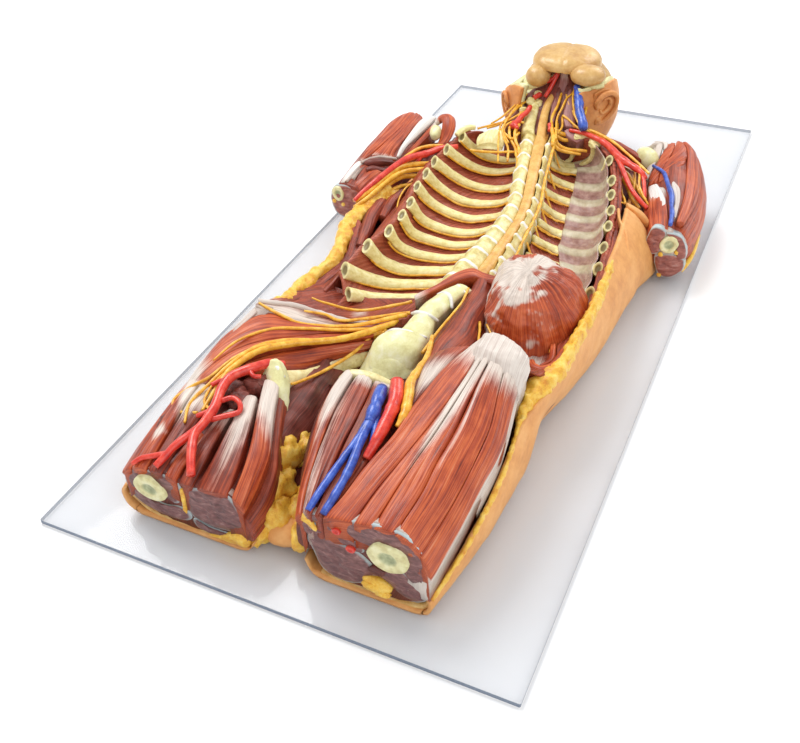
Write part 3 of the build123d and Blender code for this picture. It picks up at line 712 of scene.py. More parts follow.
piece("vastus_lateralis_left",
  [strip([L3, L4], 34, bulge=3.5, seed=41, swell=1.1, width=4.5, edge=1.2,
      fade=lambda p, a: np.maximum(1.25 - p * 4.8, (a - 0.42) * 2.6 * np.clip((p - 0.50) * 5, 0, 1)))],
  MUSCLE_BRIGHT)
L5 = [(158, -306, 112), (162, -340, 90), (165, -380, 74), (163, -420, 62), (157, -460, 44),
  (149, -506, 30)]
piece("iliotibial_band_left",
  [strip([L4, L5], 20, bulge=1.2, seed=43, swell=0.7, width=3.4, edge=0.6, down=(-1, 0, 0))], TENDON)

# the hip bone's white front corner, where the bands meet
piece("hip_corner_left",
  [slab([[(103, -281, 138), (108, -277, 146), (118, -277, 151), (133, -280, 152), (148, -285, 149),
          (160, -291, 140), (166, -297, 124)],
        [(103, -287, 140), (109, -285, 148), (119, -286, 153), (134, -290, 154), (150, -294, 150),
          (161, -299, 139), (166, -303, 120)],
        [(101, -296, 137), (109, -298, 146), (119, -303, 151), (134, -308, 152), (150, -309, 147),
          (161, -310, 134), (164, -314, 112)],
        [(99, -303, 129), (108, -309, 138), (119, -314, 143), (135, -318, 143), (151, -320, 137),
          (160, -320, 124), (162, -322, 100)]], 14, rows=60, cols=70, edge=6, swell=0.7, lumps=1.2,
      seed=51)], TENDON)

# inner thigh: adductors and the muscle under the vessels
A0 = [(-12, -341, 110), (-14, -370, 107), (-12, -398, 99), (-7, -420, 92), (3, -450, 84),
  (13, -480, 78), (24, -506, 73)]
A1 = [(2, -342, 113), (3, -372, 111), (5, -400, 107), (12, -440, 102), (21, -480, 95), (30, -506, 91)]
A2 = [(22, -343, 114), (27, -368, 113), (30, -393, 111), (33, -428, 107), (38, -472, 100),
  (42, -506, 94)]
A3 = [(56, -344, 112), (62, -370, 112), (64, -400, 109), (62, -436, 105), (58, -475, 99),
  (52, -506, 94)]
piece("adductor_longus_left",
  [strip([A0, A1], 40, bulge=3.5, seed=61, swell=0.8, width=4, edge=3.0,
      fade=lambda p, a: np.where(a > -0.5, 1.45 - p * 1.9 - np.abs(a - 0.35) * 0.5, 0.9 - p * 4))],
  MUSCLE_BRIGHT, ["adductors_left"])
piece("adductor_brevis_left",
  [strip([A1, A2], 40, bulge=3.0, seed=64, swell=1.6, width=3, edge=2.4,
      fade=lambda p, a: np.maximum(0.95 - p * 5.5, 0.35 * (1 - np.abs(a + 0.9)) + 0.25 * p))], MUSCLE)
piece("pectineus_left",
  [strip([A2, A3], 40, bulge=1.0, seed=67, swell=1.6, width=3, edge=2.0,
      fade=lambda p, a: 0.8 - p * 5.5)], MUSCLE)
piece("gracilis_left",
  [strip([[(-12, -346, 100), (-17, -380, 84), (-15, -410, 70), (-8, -440, 56), (4, -470, 44),
          (20, -500, 34)],
        [(-10, -343, 110), (-12, -372, 106), (-10, -402, 98), (-4, -428, 90), (8, -462, 80),
          (24, -503, 72)]], 20, bulge=3, seed=71, swell=1.0, width=4, edge=2.5, down=(1, 0, 0))],
  MUSCLE_DEEP)
piece("pubic_bone_left",
  [strip([[(-14, -344, 104), (-6, -340, 113), (6, -338, 116), (20, -338, 116), (36, -340, 115),
          (54, -342, 112)],
        [(-15, -350, 104), (-8, -348, 111), (5, -347, 114), (20, -347, 115), (36, -347, 113),
          (54, -347, 110)]], 18, bulge=1.5, rows=70, cols=14, swell=0.2, lumps=0.4, seed=73)], BONE)
piece("iliopsoas_left",
  [strip([[(54, -290, 108), (60, -318, 116), (66, -345, 116), (72, -372, 114), (74, -400, 110)],
        [(100, -284, 134), (90, -304, 128), (84, -330, 124), (80, -360, 120), (78, -396, 114)]], 34,
      bulge=5, seed=75, swell=0.9, width=4, edge=2.5, fade=lambda p, a: 0.9 - np.abs(p - 0.45) * 2.2)],
  MUSCLE)

# cut end of the left thigh
Y_CUT = THIGH_CUT_Y + 4.0
lobes = [("quads",
    [(66, 88), (72, 98), (88, 103), (108, 106), (126, 105), (138, 96), (147, 80), (149, 60), (148, 42),
      (138, 40), (131, 50), (130, 66), (126, 80), (116, 88), (102, 89), (90, 84), (80, 78)], 3.0, 5),
  ("lateral",
    [(96, 50), (108, 56), (122, 56), (134, 48), (146, 38), (146, 28), (136, 20), (122, 24), (110, 34),
      (100, 40)], 2.4, 6),
  ("ham",
    [(36, 68), (52, 72), (64, 66), (80, 62), (92, 54), (98, 44), (98, 34), (88, 24), (76, 16), (60, 14),
      (48, 18), (40, 28), (36, 44), (31, 56)], 3.4, 7),
  ("medial", [(27, 66), (27, 78), (32, 86), (38, 84), (46, 76), (54, 72), (50, 66), (38, 62)], 2.0, 8),
  ("sartorius", [(50, 88), (58, 92), (68, 90), (66, 82), (58, 78), (50, 80)], 1.8, 9),
  ("adductor", [(60, 76), (70, 80), (80, 76), (88, 66), (82, 62), (70, 66), (60, 70)], 1.8, 10),
  ("vastus_medialis", [(34, 88), (38, 92), (48, 93), (52, 88), (48, 82), (40, 82)], 1.6, 12)]
for lobe_name, outline, dome, seed in lobes:
    piece("cut_" + lobe_name + "_left", [cut_face(outline, Y_CUT, dome=dome, seed=seed)], CUT)
piece("cut_fascia_left",
  [cut_face(grown(left_cut, 0.975), Y_CUT + 2.0, dome=0.8, seed=4, jag=0.3, rim=0.0)], FASCIA)
piece("femur_cut_left", [bone_ring((113, 73), (19, 17), Y_CUT - 4, hollow=0.42, seed=2, depth=34)],
  MARROW, ["femur_left"])
piece("cut_fat_left",
  [cut_face([(27, 82), (31, 90), (37, 86), (44, 76), (42, 72), (34, 78)], Y_CUT - 1.2, dome=1.6,
      seed=14, rim=0),
    cut_face([(86, 34), (96, 38), (106, 36), (114, 30), (112, 24), (100, 20), (90, 24)], Y_CUT - 3.2,
      dome=3.4, seed=15, rim=0), lump((98, Y_CUT - 4, 28), (12, 5, 6), rough_by=0.25, size=5, seed=5),
    lump((106, Y_CUT - 4, 22), (8, 4, 4), rough_by=0.25, size=4, seed=6)], FAT)
piece("cut_vessels_left",
  [bone_ring((64, 84), (4.2, 3.4), Y_CUT - 2.4, hollow=0.5, seed=4, depth=4),
    bone_ring((77, 67), (4.6, 3.4), Y_CUT - 3.0, hollow=0.5, seed=5, depth=4)], ARTERY)
# painted shade: a darker muscle plate laid on the cut, not sunk into it, stands in for the shade of a
# hollow between the lobes below the femur
piece("cut_hollow_painted_shade_left",
  [cut_face([(92, 46), (98, 52), (108, 50), (106, 44), (98, 42)], Y_CUT - 3.0, dome=1.0, seed=16,
      rim=0)], MUSCLE_DEEP)

# vessels and nerve of the left groin
piece("femoral_vein_left_visible",
  [tube([(39, -360, 119), (43, -378, 121), (46, -394, 119), (47, -404, 117)], (6.5, 6.6, 6.0, 4.8),
      seed=1, wobble=0.2),
    tube([(46, -398, 117), (45, -421, 113), (41, -452, 107), (38, -486, 101), (36, -504, 95)],
      (4.8, 3.6, 3.4, 3.3, 3.2), seed=2),
    tube([(47, -398, 117), (48, -423, 113), (53, -456, 109), (53, -484, 103), (51, -504, 97)],
      (4.8, 4.2, 4.0, 3.8, 3.6), seed=3),
    tube([(49, -392, 117), (56, -412, 113), (60, -432, 107)], (3.4, 3.2, 2.6), seed=4)], VEIN,
  ["femoral_vein_left"])
piece("femoral_artery_left_visible",
  [tube([(50, -350, 124), (59, -374, 122), (62, -400, 119), (62, -420, 114), (60, -438, 106)],
      (6.8, 6.8, 6.4, 5.4, 4.0), seed=5, wobble=0.08)], ARTERY, ["femoral_artery_left"])
piece("femoral_nerve_left",
  [tube([(43, -250, 104), (53, -285, 108), (58, -315, 116), (61, -343, 122), (69, -366, 123),
        (74, -386, 121), (73, -400, 117)], (2.4, 3.0, 3.8, 4.6, 5.0, 4.6, 2.4), seed=6),
    tube([(58, -320, 118), (54, -300, 110), (62, -280, 108), (72, -272, 108)], (3.0, 2.4, 2.0, 1.6),
      seed=7)], NERVE)

# ---------------------------------------------------------------- right thigh

right_cut = [(-172, 60), (-160, 70), (-139, 77), (-116, 79), (-101, 72), (-84, 75), (-66, 82),
  (-47, 80), (-36, 66), (-30, 48), (-30, 24), (-40, 11), (-64, 10), (-90, 10), (-116, 10), (-142, 12),
  (-165, 22), (-173, 40)]
right_core = body_of_rings([clamp_floor(facing(grown(right_cut, s, shift), y), 9)
   for y, s, shift in ((-503, 0.94, (0, 0)), (-460, 0.96, (0, 2)), (-410, 0.97, (2, 4)),
   (-360, 0.95, (2, 2)), (-310, 0.9, (0, 0)), (-280, 0.85, (0, -2)))],
  rows=60, seed=13, swell=1.4, lumps=2.0)
piece("thigh_core_right", [right_core], MUSCLE_DEEP, ["thigh_muscles_right"])

R0 = [(-172, -392, 74), (-172, -420, 72), (-172, -450, 68), (-171, -480, 64), (-170, -506, 58)]
R1 = [(-164, -392, 88), (-160, -420, 88), (-158, -450, 84), (-158, -480, 76), (-157, -506, 70)]
R2 = [(-144, -400, 98), (-142, -425, 98), (-140, -450, 92), (-138, -480, 84), (-136, -506, 77)]
R3 = [(-120, -404, 96), (-118, -430, 94), (-118, -452, 88), (-120, -480, 82), (-118, -506, 78)]
R4 = [(-104, -452, 84), (-104, -466, 82), (-104, -480, 80), (-104, -494, 78), (-103, -506, 73)]
piece("vastus_lateralis_right",
  [strip([R0, R1], 30, bulge=3, seed=81, swell=1.2, width=4, edge=2, fade=lambda p, a: 0.5 - p * 1.4)],
  MUSCLE_BRIGHT)
piece("rectus_femoris_right",
  [strip([R1, R2], 26, bulge=3.5, seed=83, swell=1.4, width=4, edge=3,
      fade=lambda p, a: np.maximum(1.1 - p * 2.4 + a * 0.5,
        0.9 - np.abs(p - 0.62) * 6 - np.abs(a) * 0.6))], MUSCLE_BRIGHT)
piece("vastus_intermedius_right",
  [strip([R2, R3], 26, bulge=2.5, seed=85, swell=1.6, width=4, edge=3,
      fade=lambda p, a: np.maximum(1.2 - p * 2.0 - a * 0.3, 0.0))], MUSCLE)
piece("vastus_medialis_right",
  [strip([[(-118, -450, 86), (-119, -466, 84), (-120, -480, 82), (-118, -506, 78)], R4], 26, bulge=2.5,
      seed=87, swell=1.0, width=4, edge=2)], MUSCLE_BRIGHT)
piece("adductor_longus_right",
  [strip([[(-84, -378, 104), (-74, -402, 106), (-62, -432, 103), (-52, -458, 99), (-46, -482, 92),
          (-44, -506, 80)],
        [(-62, -380, 102), (-52, -404, 102), (-40, -432, 97), (-30, -456, 88), (-28, -482, 76),
          (-31, -506, 60)]], 40, bulge=5, seed=91, swell=0.9, width=4, edge=3,
      fade=lambda p, a: 1.5 - p * 2.5 + a * 0.25)], MUSCLE_BRIGHT, ["adductors_right"])
piece("adductor_brevis_right",
  [strip([[(-92, -400, 96), (-88, -424, 97), (-86, -450, 92), (-84, -474, 86), (-84, -506, 74)],
        [(-74, -402, 104), (-64, -430, 101), (-55, -456, 96), (-50, -480, 89), (-47, -506, 79)]], 34,
      bulge=4, seed=93, swell=2.0, width=5, edge=4, fade=lambda p, a: 1.15 - p * 0.9 - np.abs(a) * 0.5)],
  MUSCLE)
piece("pectineus_right",
  [strip([[(-104, -424, 92), (-106, -440, 90), (-107, -456, 88), (-106, -480, 82), (-103, -506, 73)],
        [(-90, -416, 94), (-90, -436, 92), (-88, -458, 88), (-86, -480, 83), (-85, -506, 74)]], 34,
      bulge=3, seed=95, swell=1.8, width=4, edge=4, fade=lambda p, a: 0.7 - p * 1.2)], MUSCLE)
piece("pectineus_stump_right",
  [lump((-88, -382, 98), (13, 11, 12), rough_by=0.35, size=9, seed=5),
    lump((-98, -402, 94), (14, 16, 10), rough_by=0.4, size=9, seed=7),
    lump((-112, -392, 92), (12, 14, 10), rough_by=0.4, size=9, seed=9),
    lump((-132, -392, 90), (16, 18, 10), rough_by=0.35, size=10, seed=10),
    lump((-150, -448, 84), (10, 12, 5), rough_by=0.4, size=7, seed=11)], MUSCLE_DEEP)
piece("gracilis_right",
  [strip([[(-60, -384, 96), (-50, -406, 94), (-37, -434, 88), (-26, -460, 78), (-24, -484, 66),
          (-29, -506, 54)],
        [(-52, -386, 60), (-44, -410, 56), (-34, -440, 50), (-26, -465, 42), (-24, -486, 32),
          (-28, -506, 24)]], 22, bulge=3, seed=97, swell=1.0, width=4, edge=2, down=(-1, 0, 0))],
  MUSCLE)
right_lobes = [("quads",
    [(-168, 58), (-158, 67), (-140, 74), (-120, 76), (-105, 70), (-102, 56), (-108, 44), (-116, 40),
      (-116, 56), (-124, 66), (-138, 69), (-150, 66), (-158, 58), (-162, 44), (-170, 42)], 2.6, 21),
  ("lateral",
    [(-170, 40), (-160, 44), (-152, 38), (-140, 34), (-126, 32), (-112, 36), (-100, 34), (-100, 22),
      (-120, 16), (-145, 18), (-163, 26)], 2.4, 22),
  ("adductors",
    [(-98, 66), (-84, 72), (-66, 79), (-49, 77), (-39, 64), (-34, 48), (-38, 34), (-56, 26), (-78, 24),
      (-96, 30), (-100, 46)], 3.4, 23),
  ("hamstrings",
    [(-96, 26), (-80, 22), (-60, 22), (-46, 26), (-40, 22), (-48, 14), (-70, 13), (-92, 14)], 2.0, 24)]
for lobe_name, outline, dome, seed in right_lobes:
    piece("cut_" + lobe_name + "_right", [cut_face(outline, Y_CUT, dome=dome, seed=seed)], CUT)
piece("cut_fascia_right",
  [cut_face(grown(right_cut, 0.97), Y_CUT + 2.0, dome=0.8, seed=25, jag=0.3, rim=0)], FASCIA)
piece("femur_cut_right", [bone_ring((-137, 54), (18, 15), Y_CUT - 4, hollow=0.42, seed=7, depth=34)],
  MARROW, ["femur_right"])
piece("cut_fat_right",
  [cut_face([(-52, 26), (-40, 30), (-33, 22), (-38, 12), (-60, 11), (-80, 12), (-66, 18)], Y_CUT - 1.5,
      dome=3, seed=26, rim=0),
    cut_face([(-104, 62), (-99, 62), (-100, 44), (-102, 30), (-106, 32), (-104, 46)], Y_CUT - 0.6,
      dome=1.5, seed=28, rim=0)], FAT)

piece("femoral_artery_right_visible",
  [tube([(-76, -350, 104), (-87, -360, 110), (-97, -376, 113), (-109, -392, 112), (-110, -410, 110),
        (-104, -432, 107), (-104, -451, 103), (-106, -466, 99), (-97, -486, 95), (-86, -504, 89)],
      (4.6, 5.0, 5.2, 5.2, 5.0, 5.0, 4.8, 4.6, 4.4, 4.2), seed=11, wobble=0.1),
    tube([(-105, -456, 101), (-112, -468, 97), (-119, -482, 93), (-123, -494, 88), (-127, -504, 84)],
      (4.2, 4.0, 3.8, 3.6, 3.4), seed=12),
    tube([(-102, -424, 108), (-93, -418, 110), (-83, -421, 109), (-80, -428, 105), (-90, -436, 103),
        (-101, -445, 102)], (2.8, 2.6, 2.6, 2.6, 2.6, 3.0), seed=13),
    tube([(-121, -488, 89), (-134, -494, 86), (-146, -499, 83), (-153, -506, 79)], (3.0, 2.8, 2.6, 2.2),
      seed=14),
    tube([(-110, -400, 112), (-118, -402, 110), (-124, -408, 108)], (3.0, 2.6, 2.4), seed=15),
    tube([(-98, -378, 113), (-90, -384, 112), (-84, -380, 110)], (2.6, 2.2, 2.0), seed=16),
    tube([(-104, -436, 106), (-112, -444, 104), (-116, -446, 102)], (2.8, 2.4, 2.2), seed=17)], ARTERY,
  ["femoral_artery_right"])
piece("femoral_nerve_right",
  [tube([(-14, -215, 84), (-19, -229, 86), (-47, -277, 94), (-87, -314, 102), (-109, -345, 108),
        (-118, -380, 109), (-120, -399, 106), (-119, -418, 102), (-118, -435, 99)],
      (2.4, 3.4, 3.6, 3.6, 3.4, 3.2, 2.6, 2.2, 1.8), seed=18),
    tube([(-98, -322, 104), (-111, -342, 111), (-126, -368, 109), (-136, -393, 103), (-150, -409, 97),
        (-159, -427, 91), (-144, -438, 91), (-123, -437, 96)], 1.7, seed=19),
    tube([(-60, -292, 97), (-90, -312, 104), (-112, -338, 109), (-122, -372, 110), (-130, -404, 104),
        (-136, -430, 98), (-128, -452, 94)], (2.4, 2.4, 2.2, 2.0, 1.8, 1.6, 1.4), seed=20),
    tube([(-118, -380, 110), (-126, -400, 104), (-124, -422, 100), (-112, -432, 100)], 1.5, seed=21)],
  NERVE)

# fat and skin between the thighs
piece("perineum_fat",
  [lump((-40, -424, 56), (14, 22, 22), rough_by=0.25, size=9, seed=31, turn=-20),
    lump((-31, -454, 46), (15, 22, 20), rough_by=0.28, size=9, seed=32, turn=-15),
    lump((-20, -474, 34), (15, 18, 18), rough_by=0.28, size=8, seed=33),
    lump((-33, -488, 24), (14, 16, 16), rough_by=0.28, size=8, seed=34),
    lump((-6, -452, 30), (14, 24, 16), rough_by=0.22, size=9, seed=35),
    lump((-28, -400, 46), (14, 20, 18), rough_by=0.3, size=9, seed=36),
    lump((14, -484, 34), (10, 18, 16), rough_by=0.2, size=8, seed=37)], FAT)
piece("perineum_skin",
  [lump((-10, -478, 22), (24, 18, 15), rough_by=0.12, size=16, seed=41),
    lump((4, -468, 24), (18, 22, 14), rough_by=0.12, size=16, seed=42)], SKIN)
piece("deep_pelvic_muscle",
  [slab([[(-64, -330, 70), (-40, -320, 66), (-12, -316, 70), (20, -312, 84), (52, -306, 96)],
        [(-60, -352, 70), (-44, -348, 56), (-22, -346, 60), (-10, -346, 84), (30, -330, 100)],
        [(-56, -382, 66), (-44, -384, 50), (-28, -384, 52), (-14, -380, 66), (10, -370, 90)],
        [(-50, -412, 62), (-40, -418, 44), (-28, -420, 44), (-14, -416, 58), (8, -410, 80)],
        [(-44, -446, 44), (-34, -450, 34), (-20, -452, 34), (-4, -450, 44), (14, -446, 60)]], 26,
      rows=70, cols=50, seed=45, swell=2.2, width=5, lumps=2.5, lump_size=14)], MUSCLE_DEEP)


# ---------------------------------------------------------------- right hip

RIDGE = [(-150, -277, 112), (-160, -318, 101), (-168, -356, 89), (-170, -396, 78)]
piece("iliacus_right_front",
  [strip([[(-30, -241, 84), (-63, -263, 92), (-100, -276, 101), (-135, -284, 108), (-158, -318, 103),
          (-168, -356, 90), (-170, -398, 78)],
        [(-28, -246, 84), (-58, -269, 92), (-88, -296, 99), (-118, -326, 105), (-138, -353, 104),
          (-151, -382, 98), (-157, -404, 90)]], 30, bulge=3, seed=101, swell=1.0, width=4, edge=1.0,
      fade=lambda p, a: 0.9 - np.abs(p - 0.92) * 5)], MUSCLE_BRIGHT, ["iliacus_right"])
piece("iliacus_right_middle",
  [strip([[(-28, -246, 84), (-58, -269, 92), (-88, -296, 99), (-118, -326, 105), (-138, -353, 104),
          (-151, -382, 98), (-157, -404, 90)],
        [(-26, -251, 82), (-51, -275, 87), (-80, -306, 95), (-104, -333, 102), (-122, -362, 105),
          (-134, -390, 99), (-142, -408, 92)]], 30, bulge=2.5, seed=103, swell=1.0, width=4, edge=1.2,
      fade=lambda p, a: 0.75 - np.abs(p - 0.97) * 6)], MUSCLE_BRIGHT)
piece("iliacus_right_upper",
  [strip([[(-22, -224, 83), (-56, -243, 88), (-89, -252, 95), (-117, -258, 103), (-136, -268, 109),
          (-150, -278, 113)],
        [(-29, -242, 84), (-63, -263, 92), (-96, -276, 100), (-118, -281, 105), (-136, -283, 109),
          (-150, -283, 112)]], 26, bulge=1.0, seed=105, swell=0.8, width=4, edge=0.8,
      fade=lambda p, a: 0.75 + 0.3 * a - 0.9 * np.abs(p - 0.6))], MUSCLE)
piece("iliacus_right_lower",
  [strip([[(-26, -251, 81), (-51, -276, 86), (-80, -307, 93), (-104, -334, 99), (-120, -360, 100)],
        [(-32, -258, 66), (-54, -287, 66), (-68, -318, 70), (-88, -346, 82), (-106, -366, 92)]], 26,
      bulge=4, seed=107, swell=1.0, width=4, edge=1.8, fade=lambda p, a: 0.3 - p * 0.6)], MUSCLE_BRIGHT)
piece("hip_fascia_right",
  [strip([RIDGE, [(-164, -280, 70), (-173, -318, 62), (-176, -356, 56), (-177, -396, 50)]], 18,
      bulge=2, seed=109, swell=0.8, width=5, edge=1.0, down=(1, 0, 0), lumps=0.6)], FASCIA)
piece("hip_fascia_patch_right",
  [strip([[(-150, -284, 111), (-160, -320, 102), (-168, -358, 90), (-169, -394, 80)],
        [(-143, -290, 110), (-150, -322, 106), (-156, -358, 99), (-158, -396, 90)]], 4, bulge=0.8,
      seed=110, swell=0.4, width=4, edge=1.2)], FASCIA, ["hip_bone_right"])
piece("iliac_crest_right",
  [tube([(-150, -276, 113), (-134, -268, 110), (-117, -257, 104), (-92, -250, 97), (-62, -243, 90),
        (-30, -229, 85)], (3.2, 3.0, 2.8, 2.6, 2.4, 2.0), seed=111, wobble=0.25)], TENDON)

# quadratus lumborum and the flank's wall above the crest
piece("quadratus_lumborum_right",
  [slab([[(-152, -150, 62), (-124, -157, 57), (-92, -163, 55), (-60, -163, 58), (-35, -158, 64),
          (-12, -150, 72)],
        [(-152, -185, 72), (-124, -188, 65), (-95, -192, 61), (-62, -195, 62), (-34, -190, 68),
          (-10, -182, 76)],
        [(-150, -225, 86), (-124, -225, 76), (-98, -224, 73), (-64, -222, 73), (-36, -214, 76),
          (-12, -206, 81)],
        [(-152, -268, 108), (-128, -256, 99), (-100, -250, 92), (-66, -245, 87), (-36, -234, 83),
          (-16, -222, 83)]], 30, rows=80, cols=110, seed=113, swell=1.4, width=5, lumps=1.0,
      lump_size=20, lean=0.5, fade=lambda p, a: 0.55 - np.abs(a - 0.05) * 2.2 - np.abs(p - 0.3) * 1.6)],
  MUSCLE, ["back_muscles"])
piece("flank_wall_right",
  [strip([[(-170, -14, 66), (-163, -40, 63), (-152, -70, 60), (-146, -100, 60), (-150, -140, 62),
          (-154, -180, 70), (-154, -225, 86), (-152, -266, 106)],
        [(-152, -20, 58), (-142, -50, 54), (-134, -80, 52), (-134, -110, 52), (-138, -145, 54),
          (-138, -182, 60), (-136, -222, 74), (-132, -256, 96)]], 30, bulge=3, seed=115, swell=1.0,
      width=4, edge=1.0, lumps=0.8)], MUSCLE)

# lumbar column, sacrum and the right side of the pelvic ring
LEFT_EDGE = [(28, -146, 99), (12, -163, 94), (3, -184, 91), (-1, -212, 89), (-5, -236, 87),
  (-21, -250, 87), (-22, -272, 85), (-15, -291, 74)]
MIDLINE = [(40, -154, 104), (30, -172, 103), (23, -192, 102), (19, -217, 101), (16, -241, 101),
  (8, -260, 101), (8, -275, 94), (9, -293, 74)]
RIGHT_EDGE = [(52, -156, 101), (43, -172, 99), (37, -195, 96), (34, -215, 95), (38, -235, 93),
  (37, -252, 93), (37, -268, 87), (32, -289, 72)]
piece("lumbar_vertebrae_visible",
  [strip([LEFT_EDGE, MIDLINE, RIGHT_EDGE], 40, bulge=2.5, rows=90, cols=50, seed=121, swell=0.15,
      lumps=0.7, lump_size=16, edge=3.5)], BONE_PALE, ["lumbar_vertebrae"])
piece("lumbar_discs",
  [tube([(14, -168, 95), (24, -172, 102), (34, -180, 104), (40, -190, 98)], (1.6, 2.6, 2.4, 1.6),
      seed=122),
    tube([(-1, -205, 90), (10, -212, 99), (24, -216, 102), (34, -214, 96)], (1.6, 2.8, 2.4, 1.6),
      seed=123),
    tube([(-14, -244, 87), (-2, -248, 97), (14, -250, 102), (34, -244, 95)], (1.8, 2.6, 2.2, 1.4),
      seed=124), tube([(30, -150, 100), (36, -158, 104), (46, -164, 102)], (1.6, 2.2, 1.4), seed=125)],
  DISC)
piece("lumbar_fascia",
  [strip([[(28, -160, 99), (18, -178, 97), (10, -196, 94), (4, -216, 92)],
        [(34, -164, 103), (24, -184, 101), (17, -200, 100), (12, -216, 98)]], 5, bulge=1.0, seed=126,
      swell=0.5, edge=1.5)], TENDON)
piece("sacrum_visible",
  [slab([[(-24, -262, 80), (-8, -276, 88), (10, -282, 90), (26, -276, 86), (42, -262, 76)],
        [(-30, -280, 62), (-12, -296, 70), (8, -300, 72), (26, -296, 70), (44, -280, 64)],
        [(-30, -304, 50), (-12, -318, 54), (6, -322, 56), (24, -318, 56), (40, -304, 54)],
        [(-26, -330, 40), (-10, -336, 42), (6, -338, 42), (22, -336, 42), (36, -330, 42)]], 26, rows=50,
      cols=50, seed=127, swell=0.1, lumps=1.0, lump_size=15)], BONE_PALE, ["sacrum"])
piece("pelvic_brim_right",
  [strip([[(-30, -258, 70), (-45, -276, 72), (-56, -298, 76), (-68, -322, 82), (-80, -346, 94),
          (-86, -362, 106)],
        [(-26, -270, 58), (-40, -288, 58), (-52, -308, 62), (-60, -332, 70), (-66, -352, 80),
          (-62, -372, 92)]], 26, bulge=3.5, seed=129, swell=0.2, lumps=1.0, lump_size=12, edge=2)],
  BONE)
piece("pubic_bone_right",
  [body_of_rings([[(-92, -366, 92), (-88, -356, 104), (-80, -352, 110), (-72, -354, 106), (-62, -362, 92),
          (-72, -368, 84)],
        [(-90, -372, 96), (-87, -362, 111), (-79, -358, 116), (-69, -362, 110), (-58, -372, 92),
          (-70, -380, 84)],
        [(-84, -382, 88), (-80, -372, 104), (-73, -368, 109), (-63, -373, 103), (-54, -384, 84),
          (-66, -390, 76)],
        [(-76, -394, 76), (-72, -386, 92), (-65, -382, 98), (-57, -386, 90), (-50, -396, 72),
          (-60, -400, 64)],
        [(-64, -402, 64), (-62, -396, 76), (-57, -394, 80), (-52, -397, 74), (-48, -403, 62),
          (-55, -406, 56)]], rows=44, sides=44, seed=131, swell=0.1, lumps=1.2, lump_size=10)],
  BONE_PALE)
piece("pubic_cartilage_right",
  [tube([(-84, -366, 104), (-76, -362, 110), (-66, -368, 104)], (2.4, 3.2, 2.2), seed=132)], DISC)
piece("obturator_muscle_right",
  [strip([[(-30, -270, 58), (-44, -290, 56), (-54, -312, 60), (-62, -336, 66), (-66, -360, 76)],
        [(-22, -282, 44), (-34, -304, 38), (-44, -328, 38), (-52, -354, 44), (-56, -384, 56)]], 20,
      bulge=3, seed=133, swell=1.2, width=4, fade=lambda p, a: 0.6 - np.abs(p - 0.25) * 2.5)], MUSCLE)

# nerves of the right hip and pelvis
piece("lumbosacral_nerves_right",
  [tube([(-8, -206, 86), (-12, -213, 89), (-50, -255, 94), (-92, -279, 101), (-112, -283, 107),
        (-134, -281, 111), (-147, -279, 114)], (2.4, 2.4, 2.2, 2.0, 1.8, 1.6, 1.2), seed=141),
    tube([(-6, -200, 86), (-15, -207, 87), (-62, -247, 92), (-83, -252, 98), (-101, -264, 106)],
      (2.0, 1.9, 1.7, 1.5, 1.2), seed=142),
    tube([(-16, -172, 80), (-28, -180, 78), (-66, -205, 76), (-104, -214, 82), (-120, -216, 86)],
      (1.8, 1.8, 1.7, 1.5, 1.0), seed=143),
    tube([(-18, -234, 82), (-31, -240, 77), (-46, -265, 66), (-61, -292, 54), (-70, -314, 42),
        (-70, -331, 32)], (4.0, 5.0, 5.0, 5.0, 5.5, 6.0), seed=144),
    tube([(-22, -238, 84), (-34, -250, 80), (-49, -275, 70), (-66, -305, 58), (-76, -326, 44)],
      (3.0, 3.6, 4.0, 4.0, 4.0), seed=145),
    tube([(-14, -250, 80), (-24, -262, 70), (-30, -270, 58), (-24, -276, 50)], (3.0, 3.0, 2.6, 2.2),
      seed=146),
    tube([(-18, -240, 84), (-29, -248, 81), (-39, -279, 76), (-50, -318, 80), (-62, -350, 86),
        (-66, -357, 88)], (2.0, 2.0, 1.9, 1.8, 1.6, 1.3), seed=147),
    tube([(-29, -241, 86), (-55, -266, 95), (-88, -288, 103), (-116, -308, 108), (-136, -340, 110),
        (-146, -372, 105)], (2.2, 2.0, 1.8, 1.6, 1.4, 1.0), seed=148)], NERVE,
  ["lumbosacral_nerves"])
piece("lumbosacral_trunk_left",
  [tube([(0, -300, 56), (-14, -320, 50), (-26, -334, 56), (-22, -350, 74)], (3.0, 4.0, 4.4, 3.4),
      seed=149), tube([(-4, -318, 44), (-20, -334, 40), (-34, -350, 40)], (3.4, 4.0, 4.0), seed=150)],
  NERVE)


# ---------------------------------------------------------------- left hip hollow and diaphragm

